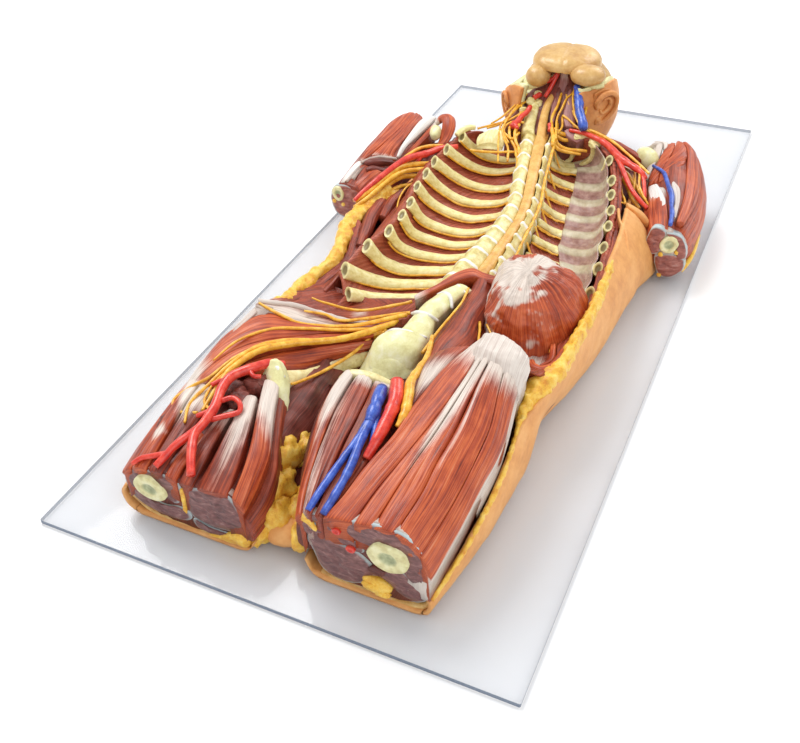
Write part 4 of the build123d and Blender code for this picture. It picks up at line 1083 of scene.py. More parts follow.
piece("psoas_left_visible",
  [strip([[(44, -132, 98), (45, -159, 98), (42, -198, 95), (40, -228, 94), (42, -262, 95),
          (50, -296, 100), (60, -326, 104)],
        [(54, -128, 104), (60, -158, 105), (60, -198, 105), (62, -232, 105), (60, -264, 107),
          (64, -296, 112), (74, -326, 114)],
        [(64, -132, 96), (76, -168, 93), (79, -205, 93), (84, -231, 95), (78, -262, 100),
          (76, -292, 110), (84, -326, 112)]], 40, bulge=2, seed=151, swell=1.0, width=4, edge=1.5,
      fade=lambda p, a: 0.45 - np.abs(p - 0.98) * 4)], MUSCLE, ["psoas_left"])
piece("iliacus_left_visible",
  [slab([[(76, -184, 84), (98, -190, 78), (124, -192, 76), (150, -188, 82), (168, -178, 90),
          (178, -170, 96)],
        [(82, -222, 88), (104, -224, 76), (128, -224, 72), (152, -222, 80), (168, -218, 92),
          (177, -214, 97)],
        [(84, -262, 98), (106, -258, 88), (130, -252, 86), (152, -246, 90), (166, -244, 96),
          (174, -246, 98)],
        [(92, -290, 118), (108, -286, 124), (130, -282, 130), (150, -278, 122), (162, -272, 108),
          (170, -262, 98)]], 40, rows=80, cols=90, seed=153, swell=1.6, width=5, lumps=1.6,
      lump_size=18, fade=lambda p, a: 1.3 - np.abs(a + 0.05) * 2.6 - np.abs(p - 0.33) * 3.2)], MUSCLE,
  ["iliacus_left", "hip_bone_left"])
piece("iliac_folds_left",
  [strap([(146, -236, 92), (152, -248, 97), (162, -252, 99), (171, -240, 99), (172, -214, 98)],
      (7, 8, 8, 7, 5), (6, 7, 7, 6, 5), seed=154, swell=0.8),
    strap([(158, -200, 90), (164, -226, 92), (158, -242, 94)], (6, 6, 5), (5, 6, 5), seed=156,
      swell=0.8)], MUSCLE_BRIGHT)
piece("lateral_nerves_left",
  [tube([(116, -204, 86), (129, -205, 86), (144, -202, 88), (155, -200, 90), (157, -210, 88)],
      (1.4, 1.4, 1.3, 1.2, 1.1), seed=157),
    tube([(47, -160, 107), (50, -187, 107), (48, -213, 106), (45, -240, 104), (43, -276, 101)],
      (1.3, 1.3, 1.3, 1.5, 2.0), seed=158),
    tube([(76, -200, 97), (82, -216, 99), (87, -232, 101), (92, -246, 102)], (1.4, 1.4, 1.3, 1.1),
      seed=159), tube([(84, -200, 96), (92, -210, 94), (98, -218, 92)], (1.2, 1.2, 1.0), seed=160)],
  NERVE)

DOME = [[(60, -112, 60), (72, -98, 60), (105, -90, 60), (140, -95, 60), (168, -112, 60), (174, -140, 60),
    (170, -170, 60), (158, -198, 60), (134, -210, 60), (106, -212, 60), (86, -204, 60), (70, -165, 60)],
  [(60, -116, 92), (70, -101, 92), (104, -94, 92), (140, -98, 92), (168, -114, 92), (174, -140, 92),
    (170, -168, 92), (158, -196, 88), (134, -208, 86), (106, -210, 88), (86, -202, 94), (71, -165, 96)],
  [(66, -120, 110), (76, -104, 110), (104, -97, 112), (138, -101, 110), (163, -116, 108),
    (169, -141, 108), (165, -168, 108), (153, -194, 104), (131, -206, 104), (107, -207, 106),
    (89, -200, 108), (74, -162, 110)],
  [(76, -122, 126), (86, -110, 126), (106, -104, 127), (134, -108, 126), (153, -121, 125),
    (159, -143, 125), (154, -167, 124), (144, -187, 121), (127, -198, 121), (108, -199, 122),
    (94, -192, 123), (82, -158, 126)],
  [(92, -130, 138), (98, -122, 138), (108, -118, 138), (126, -121, 138), (139, -130, 137),
    (143, -146, 137), (139, -162, 136), (132, -176, 134), (121, -183, 133), (109, -184, 134),
    (101, -178, 136), (94, -155, 138)],
  [(106, -146, 143), (108, -143, 143), (111, -142, 143), (116, -143, 143), (120, -146, 143),
    (121, -151, 143), (120, -156, 142), (117, -160, 142), (114, -162, 142), (110, -162, 142),
    (107, -160, 142), (106, -154, 143)]]


def dome_fade(part, points):
    """White centre of the dome: high, and towards the right and the feet."""
    x, y = points[..., 0], points[..., 1]
    middle = 1.75 - np.hypot((x - 102) / 28, (y + 156) / 40) * 1.15 + 1.1 * rough(points / 15, 3, 166)
    rim = 0.9 - np.hypot((x - 100) / 34, (y + 98) / 9)
    return np.maximum(middle, rim)


piece("diaphragm_visible",
  [body_of_rings(DOME, rows=90, sides=150, seed=161, swell=1.2, width=3.2, lumps=2.6, lump_size=17,
      fade=dome_fade)], MUSCLE_BRIGHT, ["diaphragm"])
piece("diaphragm_crus",
  [strip([[(-16, -166, 84), (2, -150, 91), (16, -128, 97), (32, -114, 101), (50, -120, 103),
          (68, -126, 106)],
        [(-10, -176, 86), (8, -160, 94), (26, -142, 100), (42, -132, 102), (56, -138, 103),
          (74, -142, 108)]], 14, bulge=2.5, rows=70, seed=163, swell=0.8, width=3.4, edge=1.5,
      fade=lambda p, a: np.maximum(0.7 - p * 3.2, (p - 0.93) * 6))], MUSCLE_BRIGHT)


# ---------------------------------------------------------------- chest
# Each rib's middle line runs from its cut end at the side, down the wall and up to the spine.

RIGHT_RIBS = [[(-109, 206, 90), (-103, 218, 74), (-86, 232, 54), (-66, 244, 44), (-44, 250, 44),
    (-24, 250, 54),
    (-16, 246, 66)],
  [(-114, 161, 91), (-104, 178, 72), (-87, 196, 52), (-68, 208, 42), (-46, 216, 42), (-26, 212, 52),
    (-14, 206, 64)],
  [(-116, 122, 91), (-104, 142, 68), (-85, 156, 49), (-64, 166, 39), (-40, 172, 38), (-20, 168, 48),
    (-5, 164, 62)],
  [(-113, 87, 91), (-101, 105, 64), (-78, 118, 43), (-55, 127, 36), (-32, 132, 38), (-14, 128, 47),
    (2, 122, 62)],
  [(-110, 51, 91), (-99, 68, 62), (-76, 80, 43), (-49, 88, 35), (-26, 92, 39), (-8, 86, 49),
    (8, 80, 62)],
  [(-101, 10, 91), (-92, 28, 58), (-72, 42, 41), (-48, 50, 35), (-24, 53, 39), (-6, 50, 50),
    (10, 46, 62)],
  [(-98, -22, 91), (-91, -6, 58), (-70, 10, 41), (-46, 18, 35), (-22, 20, 40), (-4, 16, 50),
    (10, 12, 62)],
  [(-97, -62, 91), (-92, -44, 60), (-74, -28, 42), (-48, -16, 35), (-24, -14, 40), (-6, -16, 50),
    (10, -20, 64)],
  [(-108, -101, 90), (-97, -84, 60), (-74, -64, 40), (-48, -48, 35), (-26, -46, 40), (-8, -50, 50),
    (8, -54, 66)],
  [(-113, -150, 84), (-99, -122, 58), (-76, -98, 40), (-50, -80, 35), (-28, -78, 40), (-10, -82, 52),
    (6, -88, 68)],
  [(-98, -172, 68), (-84, -146, 50), (-66, -126, 40), (-46, -112, 37), (-26, -110, 43), (-10, -114, 56),
    (4, -122, 72)]]
LEFT_RIBS = [[(45, 264, 93), (41, 272, 72), (34, 274, 54), (26, 268, 48), (18, 258, 54), (14, 248, 68)],
  [(72, 252, 93), (70, 258, 68), (56, 266, 50), (40, 264, 44), (26, 252, 50), (18, 240, 66)],
  [(104, 206, 93), (95, 224, 68), (74, 244, 50), (50, 250, 43), (32, 240, 48), (18, 224, 64)],
  [(122, 154, 93), (110, 172, 68), (85, 192, 50), (60, 206, 43), (40, 204, 48), (24, 190, 64)],
  [(131, 118, 93), (121, 134, 68), (94, 150, 50), (67, 164, 43), (48, 162, 48), (33, 148, 64)],
  [(141, 81, 93), (129, 94, 68), (102, 109, 50), (74, 121, 43), (57, 120, 48), (44, 110, 64)],
  [(148, 44, 93), (134, 54, 68), (106, 71, 50), (82, 82, 43), (66, 80, 48), (54, 68, 64)],
  [(156, -5, 93), (140, 12, 68), (114, 30, 50), (88, 44, 43), (74, 42, 48), (60, 30, 62)],
  [(162, -50, 93), (148, -22, 68), (126, -4, 50), (102, 8, 43), (84, 6, 48), (64, -8, 60)],
  [(167, -101, 93), (156, -72, 68), (134, -50, 50), (108, -34, 42), (86, -34, 46), (62, -44, 58)],
  [(172, -140, 88), (160, -116, 66), (138, -94, 48), (110, -76, 40), (88, -72, 44), (62, -80, 58)]]
RIGHT_AXIS = lambda y: -46.0
LEFT_AXIS = lambda y: 41 + (246 - y) * 0.1745


def towards_hollow(line, axis):
    """Unit vectors from each point of a line to the middle of the lung's hollow."""
    inward = np.stack([axis(line[:, 1]) - line[:, 0], np.zeros(len(line)), 104 - line[:, 2]], -1)
    return unit(inward)


def rib_shape(route, axis, widths, seed, rows=80, sides=26):
    """A flattened rib whose cut end is a shell round a dark hollow."""
    line = smooth_line(route, rows)
    inward = towards_hollow(line, axis)
    ahead = unit(np.gradient(line, axis=0))
    aside = unit(np.cross(ahead, inward))
    inward = unit(np.cross(aside, ahead))
    width = smooth_line(np.asarray(widths, float)[:, None], rows) / 2
    turn = np.linspace(0, 2 * np.pi, sides, endpoint=False)
    flat = np.stack([np.cos(turn), np.sin(turn) * 0.62], -1)
    lift = 1 + 0.05 * rough(line / 9, 2, seed)[:, None, None]

    def ring(k, share, back):
        middle = line[k] - ahead[k] * back
        return middle + (aside[k] * flat[:, :1] + inward[k] * flat[:, 1:]) * width[k] * lift[k] * share

    rings = [ring(0, 0.4, -1.6), ring(0, 0.5, -1.3), ring(0, 0.66, -0.3),
        ring(0, 0.95, 0)] + [ring(k, 1, 0) for k in range(rows)]
    rings = np.array(rings)
    along = np.concatenate([[0, 0, 0, 0], path_lengths(line)])[:, None] * np.ones(sides)
    hollow = np.zeros_like(along)
    hollow[:3] = [[1.0], [1.0], [0.5]]
    fibre = np.stack([along, np.cos(turn)[None] * 6 * np.ones((rows + 4, 1)), hollow], -1)
    return loft(rings, fibre)


def rib_material():
    """Cream bone mottled in streaks along its length, with a brown-green hollow at the cut end."""
    n = Nodes("rib_bone")
    along, across, hollow = n.fibre()
    cloud = n.noise(n.scaled(along, across, 0.09, 0.28), detail=4)
    grain = n.noise(n.place(300), detail=2)
    tone = n.math("ADD", n.math("MULTIPLY", cloud, 0.8), n.math("MULTIPLY", grain, 0.2))
    bone = n.ramp(tone, [(0.32, (214, 198, 124)), (0.5, (236, 224, 158)), (0.66, (246, 240, 192))])
    n.bump(tone, 0.3, 0.0006)
    return n.finish(n.mix(hollow, bone, (128, 112, 66)), 0.42, coat=0.12)


RIB = rib_material()

for side, ribs, axis in (("right", RIGHT_RIBS, RIGHT_AXIS), ("left", LEFT_RIBS, LEFT_AXIS)):
    for number, route in enumerate(ribs, start=1):
        wide = 18 if side == "right" and number in (9, 10) else 15.5
        end = wide + (2.5 if side == "right" else 1.5)
        shape = rib_shape(route, axis, (end, wide, wide - 0.5, wide - 1, wide - 1.5, wide - 2,
            wide - 2)[:len(route)], seed=200 + number)
        node = f"rib_{side}_{number}"
        piece(node + "_visible", [shape], RIB, [node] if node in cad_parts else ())


def gap_muscle(upper, lower, axis, seed, sink=5.0, rows=64, cols=30):
    """The muscle that closes the gap between two neighbouring ribs, its fibres crossing it."""
    first = smooth_line(upper, rows)
    second = smooth_line(lower, rows)
    first = first - towards_hollow(first, axis) * sink
    second = second - towards_hollow(second, axis) * sink
    share = np.linspace(0, 1, cols)[None, :, None]
    top = first[:, None] * (1 - share) + second[:, None] * share
    inward = towards_hollow((first + second) / 2, axis)
    sag = np.sin(np.linspace(0, np.pi, cols))[None, :, None] * 1.4
    grid = (top + inward[:, None] * sag).transpose(1, 0, 2)
    return modelled(grid, 4, edge=0, seed=seed, swell=0.7, width=3.6, lean=0.7, lumps=0.8, lump_size=10,
                    down=tuple(-inward.mean(0)), follow=True)


for side, ribs, axis in (("right", RIGHT_RIBS, RIGHT_AXIS), ("left", LEFT_RIBS, LEFT_AXIS)):
    gaps = [gap_muscle(upper, lower, axis, seed=240 + k) for k,
        (upper, lower) in enumerate(zip(ribs, ribs[1:]))]
    first = [(x, y + 34, z) for x, y, z in ribs[0]]
    last = [(x, y - 34, z) for x, y, z in ribs[-1]]
    gaps.append(gap_muscle(first, ribs[0], axis, seed=251))
    gaps.append(gap_muscle(ribs[-1], last, axis, seed=252))
    piece("intercostal_muscles_" + side + "_visible", gaps, MUSCLE_INTERCOSTAL,
        ["intercostal_muscles_" + side])


def beside(route, axis, part_start, part_end, shift, lift, seed, rows=26):
    """A nerve along a rib's lower border."""
    line = smooth_line(route, 120)
    line = line[int(part_start * 119):int(part_end * 119) + 1]
    line = line[np.linspace(0, len(line) - 1, rows).astype(int)]
    stray = noise(np.stack([np.arange(rows) / 5, np.full(rows, seed), np.zeros(rows)], -1), seed) * 1.2
    line = line + towards_hollow(line, axis) * lift
    line[:, 1] += shift + stray
    return line


right_nerves = [tube(beside(route, RIGHT_AXIS, 0.04 + 0.03 * (k % 3), 1.0, -11.5, 0.5, 300 + k), 1.35,
  seed=300 + k, sides=8)
 for k, route in enumerate(RIGHT_RIBS)]
left_nerves = [tube(beside(route, LEFT_AXIS, 0.56, 1.0, -11.5, 1.5, 320 + k), 1.4, seed=320 + k,
  sides=8)
 for k, route in enumerate(LEFT_RIBS[2:])]
left_nerves += [tube(beside(route, LEFT_AXIS, 0.66, 0.95, -13.5, 1.5, 340 + k), 1.0, seed=340 + k,
  sides=8)
 for k, route in enumerate(LEFT_RIBS[2:7])]
piece("intercostal_nerves_visible", right_nerves + left_nerves, NERVE, ["intercostal_nerves"])

# membrane over the outer half of the left ribs
pleura_rows = []
for route in LEFT_RIBS[1:]:
    line = smooth_line(route, 120)
    line = line + towards_hollow(line, LEFT_AXIS) * 6.6
    pleura_rows.append(line[2:72])
between = []
for upper, lower in zip(pleura_rows, pleura_rows[1:]):
    between.append(upper)
    middle = (upper + lower) / 2
    between.append(middle - towards_hollow(middle, LEFT_AXIS) * 2.6)
between.append(pleura_rows[-1])
pleura_top = smooth_line(between, 150)[:, ::2]
pleura_shape = modelled(pleura_top, 1.2, edge=0.4, seed=78, swell=0.2, lumps=0.3, lump_size=14,
  down=(0, 0, -1), follow=True)
rib_phase = np.cos(np.linspace(0, 2 * np.pi * (len(pleura_rows) - 1), 150))
over = np.repeat(np.clip(rib_phase * 1.6 + 0.1, 0, 1)[:, None], 2 * pleura_top.shape[1], 1).reshape(-1)
pleura_shape[2][:len(over), 2] = over
piece("pleura_left_visible", [pleura_shape], PLEURA, ["pleura_left"])

# ---------------------------------------------------------------- spine

RIGHT_COLUMN_EDGE = [(-40, 268, 78), (-32, 232, 80), (-20, 180, 78), (-8, 130, 76), (2, 88, 74),
  (6, 50, 74), (6, 8, 74), (4, -40, 78), (2, -84, 82), (0, -126, 84), (-6, -150, 86)]
RIGHT_COLUMN_CREST = [(-30, 270, 88), (-22, 232, 91), (-9, 180, 90), (3, 130, 89), (13, 88, 88),
  (18, 50, 88), (19, 8, 89), (17, -40, 92), (15, -84, 95), (13, -126, 97), (8, -152, 97)]
RIGHT_CANAL_EDGE = [(-17, 274, 86), (-10, 232, 87), (2, 180, 86), (14, 130, 85), (24, 88, 84),
  (31, 46, 83), (33, 8, 83), (33, -40, 85), (33, -84, 87), (32, -122, 89), (26, -148, 90)]
LEFT_CANAL_EDGE = [(0, 274, 86), (6, 232, 87), (17, 180, 86), (28, 130, 84), (36, 88, 82), (41, 46, 81),
  (43, 8, 81), (44, -40, 82), (46, -84, 84), (46, -120, 86)]
LEFT_COLUMN_CREST = [(6, 274, 90), (12, 232, 91), (22, 180, 89), (32, 130, 87), (40, 88, 85),
  (45, 46, 84), (47, 8, 84), (49, -40, 86), (51, -84, 88), (52, -118, 90)]
LEFT_COLUMN_EDGE = [(14, 268, 84), (20, 232, 80), (30, 180, 76), (41, 130, 74), (50, 88, 72),
  (56, 46, 70), (58, 8, 70), (61, -40, 72), (63, -84, 76), (64, -116, 80)]
SPINE_DISCS_Y = (227, 191, 155, 120, 88, 56, 27, -2, -30, -60, -94, -126)


def column(lines, depth, waist, seed, cols=34, rows=230):
    """One side of the opened spine: bodies that waist in between the discs."""
    sampled = np.stack([smooth_line(line, rows) for line in lines])
    top = smooth_line(sampled, cols).transpose(1, 0, 2)
    nearest = np.min(np.abs(top[..., 1][..., None] - np.array(SPINE_DISCS_Y)), -1)
    rise = np.exp(-((nearest / 5.0) ** 2)) * waist
    normal = normals(top)
    normal = normal * np.sign(normal[..., 2].mean())
    top = top + normal * (rise - waist * 0.6)[..., None]
    shape = modelled(top, depth, edge=1.6, seed=seed, swell=0.25, width=3, lumps=0.5, lump_size=9)
    part = np.clip(1.7 - nearest / 2.6, 0, 1)
    full = np.concatenate([part, np.zeros((rows, 7))], 1).reshape(-1)
    shape[2][:len(full), 2] = full
    return shape


def vertebra_material():
    """Cream vertebrae with white discs where the third fibre value is high."""
    n = Nodes("vertebra")
    along, across, disc = n.fibre()
    cloud = n.noise(n.place(95), detail=4)
    grain = n.noise(n.place(420), detail=2)
    tone = n.math("ADD", n.math("MULTIPLY", cloud, 0.75), n.math("MULTIPLY", grain, 0.25))
    bone = n.ramp(tone, [(0.34, (198, 180, 104)), (0.5, (228, 214, 146)), (0.64, (242, 236, 184))])
    white = n.ramp(cloud, [(0.4, (226, 226, 214)), (0.6, (248, 248, 244))])
    amount = n.math("MULTIPLY", n.math("SUBTRACT", n.math("ADD", disc, n.math("MULTIPLY", cloud, 0.9)),
        0.95), 3.0, clamp=True)
    n.bump(tone, 0.4, 0.0008)
    return n.finish(n.mix(amount, bone, white), 0.42, coat=0.1)


VERTEBRA = vertebra_material()
piece("thoracic_vertebrae_right",
  [column([RIGHT_COLUMN_EDGE, RIGHT_COLUMN_CREST, RIGHT_CANAL_EDGE], 34, 2.6, 401)], VERTEBRA,
  ["thoracic_vertebrae", "intervertebral_discs"])
piece("thoracic_vertebrae_left",
  [column([LEFT_CANAL_EDGE, LEFT_COLUMN_CREST, LEFT_COLUMN_EDGE], 34, 3.4, 403, cols=24)], VERTEBRA)
CORD_LINE = [(-22, 322, 96), (-14, 290, 90), (-8, 262, 87), (-1, 230, 86), (10, 180, 84), (21, 130, 82),
  (30, 88, 80), (36, 46, 79), (38, 8, 79), (39, -40, 80), (40, -84, 83), (41, -118, 88)]
piece("spinal_cord_visible",
  [strap(CORD_LINE, (12, 13, 14.5, 15, 15, 14.5, 14, 13, 12, 12, 12, 12), [9] * 12, seed=405,
      swell=0.3, rows=160, sides=24)], CORD, ["spinal_cord"])
piece("canal_floor",
  [strip([RIGHT_CANAL_EDGE, LEFT_CANAL_EDGE], 20, bulge=0, seed=406, rows=120, cols=10, swell=0.3,
      edge=0, down=(0, 0, -1))], CORD)
TRUNK_LEFT = [(4, 292, 94), (13, 262, 92), (21, 225, 90), (28, 186, 87), (38, 134, 84), (48, 90, 80),
  (53, 46, 78), (55, 14, 78), (59, -27, 79), (62, -60, 82), (60, -88, 86)]
TRUNK_RIGHT = [(-50, 276, 88), (-42, 248, 86), (-28, 206, 82), (-16, 180, 80), (-3, 134, 77),
  (5, 94, 75), (8, 66, 74)]
piece("sympathetic_trunks",
  [tube(TRUNK_LEFT, (2.6, 2.4, 2.2, 2.0, 2.0, 2.0, 1.8, 1.8, 1.8, 1.7, 1.4), seed=407, wobble=0.35),
    tube(TRUNK_RIGHT, (1.8, 1.9, 1.8, 1.7, 1.6, 1.6, 1.4), seed=408, wobble=0.35)]
  + [tube([LEFT_COLUMN_EDGE[k], tuple(np.array(LEFT_COLUMN_EDGE[k]) + (5, -3, -10)),
      tuple(np.array(LEFT_COLUMN_EDGE[k]) + (12, -7, -22))], 1.3, seed=410 + k)
   for k in range(1, 8)], NERVE)

# the left chest wall's cut edge
WALL_IN = [(50, 274, 86), (72, 258, 86), (98, 222, 87), (114, 180, 87), (127, 132, 87), (137, 92, 87),
  (145, 50, 87), (153, 2, 87), (160, -46, 88), (166, -98, 89), (170, -140, 91), (171, -180, 94),
  (168, -220, 96), (160, -258, 98)]
WALL_OUT = [(58, 284, 84), (84, 268, 85), (111, 230, 86), (128, 186, 87), (140, 138, 88), (151, 96, 88),
  (160, 52, 89), (168, 4, 90), (173, -46, 92), (176, -100, 94), (179, -140, 95), (179, -180, 97),
  (177, -220, 98), (170, -264, 98)]
piece("chest_wall_left",
  [strip([WALL_IN, WALL_OUT], 52, bulge=1.5, rows=200, cols=18, seed=421, swell=1.0, width=3.0,
      edge=1.0, lumps=1.0, lump_size=8)], MUSCLE)
# the right chest wall between the rib ends
RWALL_IN = [(-96, 262, 74), (-108, 232, 84), (-115, 190, 86), (-118, 150, 86), (-117, 110, 86),
  (-113, 70, 86), (-107, 26, 86), (-102, -20, 84), (-106, -60, 80), (-116, -100, 74), (-124, -140, 68),
  (-128, -170, 62)]
RWALL_OUT = [(-106, 268, 66), (-122, 236, 74), (-130, 192, 78), (-134, 150, 78), (-134, 108, 76),
  (-130, 66, 74), (-126, 24, 72), (-126, -20, 68), (-132, -60, 62), (-138, -100, 58), (-140, -140, 56),
  (-144, -170, 58)]
piece("chest_wall_right",
  [strip([RWALL_IN, RWALL_OUT], 50, bulge=2.5, rows=170, cols=20, seed=423, swell=1.2, width=3.4,
      edge=1.0, lumps=1.2, lump_size=9)], MUSCLE)


# ---------------------------------------------------------------- skin and fat
# Left flank, as (y, then x and z of the rim, upper, middle, low and base points).

LEFT_FLANK = [(286, (95, 50), (98, 40), (100, 28), (97, 12), (88, 5.3)),
  (255, (130, 56), (134, 46), (136, 32), (133, 13), (122, 5.3)),
  (205, (142, 58), (147, 48), (150, 34), (147, 13), (136, 5.3)),
  (150, (150, 66), (156, 56), (162, 36), (160, 14), (150, 5.3)),
  (118, (154, 76), (164, 70), (184, 46), (192, 18), (186, 5.3)),
  (96, (158, 92), (172, 82), (194, 52), (204, 20), (199, 5.3)),
  (72, (162, 99), (178, 86), (198, 52), (203, 20), (194, 5.3)),
  (24, (168, 97), (188, 76), (199, 42), (192, 15), (178, 5.3)),
  (-40, (174, 99), (190, 76), (196, 42), (188, 15), (174, 5.3)),
  (-120, (180, 101), (189, 76), (190, 42), (183, 15), (170, 5.3)),
  (-190, (183, 101), (187, 76), (184, 42), (172, 15), (156, 5.3)),
  (-235, (184, 99), (183, 80), (176, 48), (162, 16), (148, 5.3)),
  (-262, (179, 92), (178, 76), (170, 44), (160, 16), (148, 5.3)),
  (-290, (172, 90), (174, 70), (172, 42), (166, 18), (152, 5.3)),
  (-320, (168, 88), (172, 68), (174, 42), (170, 18), (156, 5.3)),
  (-360, (169, 80), (173, 62), (174, 40), (168, 16), (154, 5.3)),
  (-400, (170, 72), (173, 58), (172, 38), (165, 14), (150, 5.3)),
  (-440, (167, 62), (169, 50), (167, 34), (160, 13), (146, 5.3)),
  (-470, (162, 50), (163, 40), (161, 28), (154, 12), (140, 5.3)),
  (-506, (150, 30), (152, 24), (151, 17), (147, 10), (134, 5.3))]
RIGHT_FLANK = [(284, (-96, 48), (-99, 38), (-100, 26), (-96, 11), (-86, 5.3)),
  (256, (-136, 52), (-141, 44), (-142, 30), (-138, 12), (-126, 5.3)),
  (200, (-150, 54), (-155, 46), (-157, 32), (-153, 13), (-142, 5.3)),
  (140, (-153, 54), (-158, 46), (-160, 32), (-156, 13), (-144, 5.3)),
  (60, (-158, 54), (-163, 46), (-165, 32), (-160, 13), (-148, 5.3)),
  (20, (-172, 56), (-177, 46), (-178, 32), (-172, 13), (-156, 5.3)),
  (-30, (-178, 58), (-183, 46), (-184, 32), (-176, 13), (-160, 5.3)),
  (-80, (-167, 56), (-173, 46), (-175, 32), (-168, 13), (-152, 5.3)),
  (-130, (-158, 56), (-164, 46), (-166, 32), (-160, 13), (-146, 5.3)),
  (-210, (-160, 64), (-167, 50), (-169, 34), (-162, 13), (-148, 5.3)),
  (-300, (-172, 60), (-178, 48), (-179, 32), (-172, 13), (-156, 5.3)),
  (-400, (-176, 58), (-181, 46), (-182, 32), (-176, 13), (-160, 5.3)),
  (-460, (-175, 52), (-180, 42), (-181, 30), (-175, 13), (-160, 5.3)),
  (-506, (-173, 40), (-177, 34), (-178, 26), (-174, 13), (-160, 5.3))]
# the sole of each half: (y, then x and z of the inner base, inner low and inner rim points)
LEFT_INNER = [(286, -6, 5.3, -8, 6, -10, 7), (-390, -6, 5.3, -8, 6, -10, 7),
  (-430, 16, 5.3, 8, 8, 4, 14), (-460, 34, 5.3, 24, 10, 20, 20), (-506, 46, 5.3, 34, 10, 29, 24)]
RIGHT_INNER = [(286, 6, 5.3, 8, 6, 10, 7), (-400, 6, 5.3, 8, 6, 10, 7), (-440, -14, 5.3, -8, 8, -6, 16),
  (-470, -36, 5.3, -26, 10, -20, 20), (-506, -48, 5.3, -36, 10, -30, 22)]


def skin_half(flank, inner, seed):
    """The skin of one side from its cut rim, under the back and up between the thighs."""
    inner = np.array(inner, float)
    rows = []
    for y, *outer in flank:
        values = [np.interp(-y, -inner[:, 0], inner[:, k]) for k in range(1, 7)]
        base = outer[-1]
        inside = [(values[0], values[1]), (values[2], values[3]), (values[4], values[5])]
        between = [(base[0] + (inside[0][0] - base[0]) * part, 5.3) for part in (0.12, 0.4, 0.75, 0.95)]
        rows.append([(x, y, z) for x, z in [*outer, *between, *inside]])
    top = smooth_grid(rows, 150, 120)
    top[..., 2] = np.maximum(top[..., 2], BACK_Z)
    flat = np.clip((top[..., 2:3] - 8) / 14, 0, 1)
    middle = np.array([flank[0][1][0] * 0, 0, 60.0])
    outward = unit((top - middle) * np.array([1, 0, 1.0]))
    top = top + outward * flat * (1.1 * rough(top / 34, 3, seed) + 0.25 * rough(top / 5, 2, seed + 1))[...,
        None]
    low = top - np.where(flat > 0.01, outward * 4.0, np.array([0, 0, -4.0]))
    low = np.where(flat > 0.01, low, top + np.array([0, 0, 4.0]))
    grid = np.concatenate([top, low[:, ::-1]], 1)
    fibre = np.stack([grid[..., 1], grid[..., 2], np.zeros(grid.shape[:2])], -1)
    return loft(grid, fibre, "seam")


piece("torso_skin_left", [skin_half(LEFT_FLANK, LEFT_INNER, 501)], SKIN, ["torso_skin"])
piece("torso_skin_right", [skin_half(RIGHT_FLANK, RIGHT_INNER, 502)], SKIN)


def fat_strip(route, widths, depths, seed, size=7.0, lumps=2.6):
    """Bright fat in a lumpy band."""
    line = smooth_line(route, 150)
    shape = strap(route, widths, depths, rows=150, sides=40, seed=seed, swell=0.2)
    points = shape[0]
    middle = line[np.clip(np.searchsorted(-line[:, 1], -points[:, 1]), 0, len(line) - 1)]
    outward = unit(points - middle)
    points = points + outward * (lumps * (0.4 + rough(points / size, 3, seed)))[:, None]
    return points, shape[1], shape[2]


piece("torso_fat_left",
  [fat_strip([(171, -8, 92), (175, -50, 94), (178, -100, 96), (180, -140, 97), (179, -186, 97),
        (178, -227, 96), (172, -256, 94), (164, -276, 92), (162, -300, 88), (163, -320, 84)],
      (3, 6, 8, 9, 10, 12, 17, 18, 13, 6), (6, 12, 14, 15, 16, 17, 18, 18, 14, 8), 511),
    fat_strip([(163, -318, 86), (167, -350, 80), (169, -390, 73), (167, -430, 63), (162, -464, 50),
        (151, -504, 31)], (5, 4, 4, 4, 4, 4), (7, 6, 6, 6, 6, 6), 512, lumps=1.0, size=5)], FAT,
  ["torso_fat"])
piece("torso_fat_right",
  [fat_strip([(-150, 86, 60), (-158, 50, 60), (-170, 22, 60), (-174, -10, 62), (-171, -36, 62),
        (-163, -62, 60), (-156, -90, 60), (-152, -115, 60), (-155, -143, 62), (-157, -180, 66),
        (-155, -205, 72), (-151, -232, 82), (-152, -262, 96)],
      (12, 15, 17, 17, 18, 16, 15, 15, 15, 16, 15, 12, 7),
      (14, 16, 18, 18, 18, 18, 18, 18, 18, 18, 16, 14, 8), 513, size=9)], FAT)
piece("thigh_fat_cut",
  [fat_strip([(40, -499, 10), (60, -500, 8.5), (90, -500, 8), (120, -500, 9), (140, -500, 13),
  (150, -500, 24)],
      (7, 7, 7, 7, 7, 5), (5, 5, 4.5, 5, 6, 5), 514, lumps=0.5, size=5),
    fat_strip([(-38, -499, 13), (-60, -500, 9), (-90, -500, 8.5), (-120, -500, 9), (-150, -500, 12),
        (-172, -500, 28)], (8, 7, 7, 7, 7, 5), (7, 5, 4.5, 4.5, 5, 5), 515, lumps=0.5, size=5)],
  FAT_TAN)


# ---------------------------------------------------------------- right arm

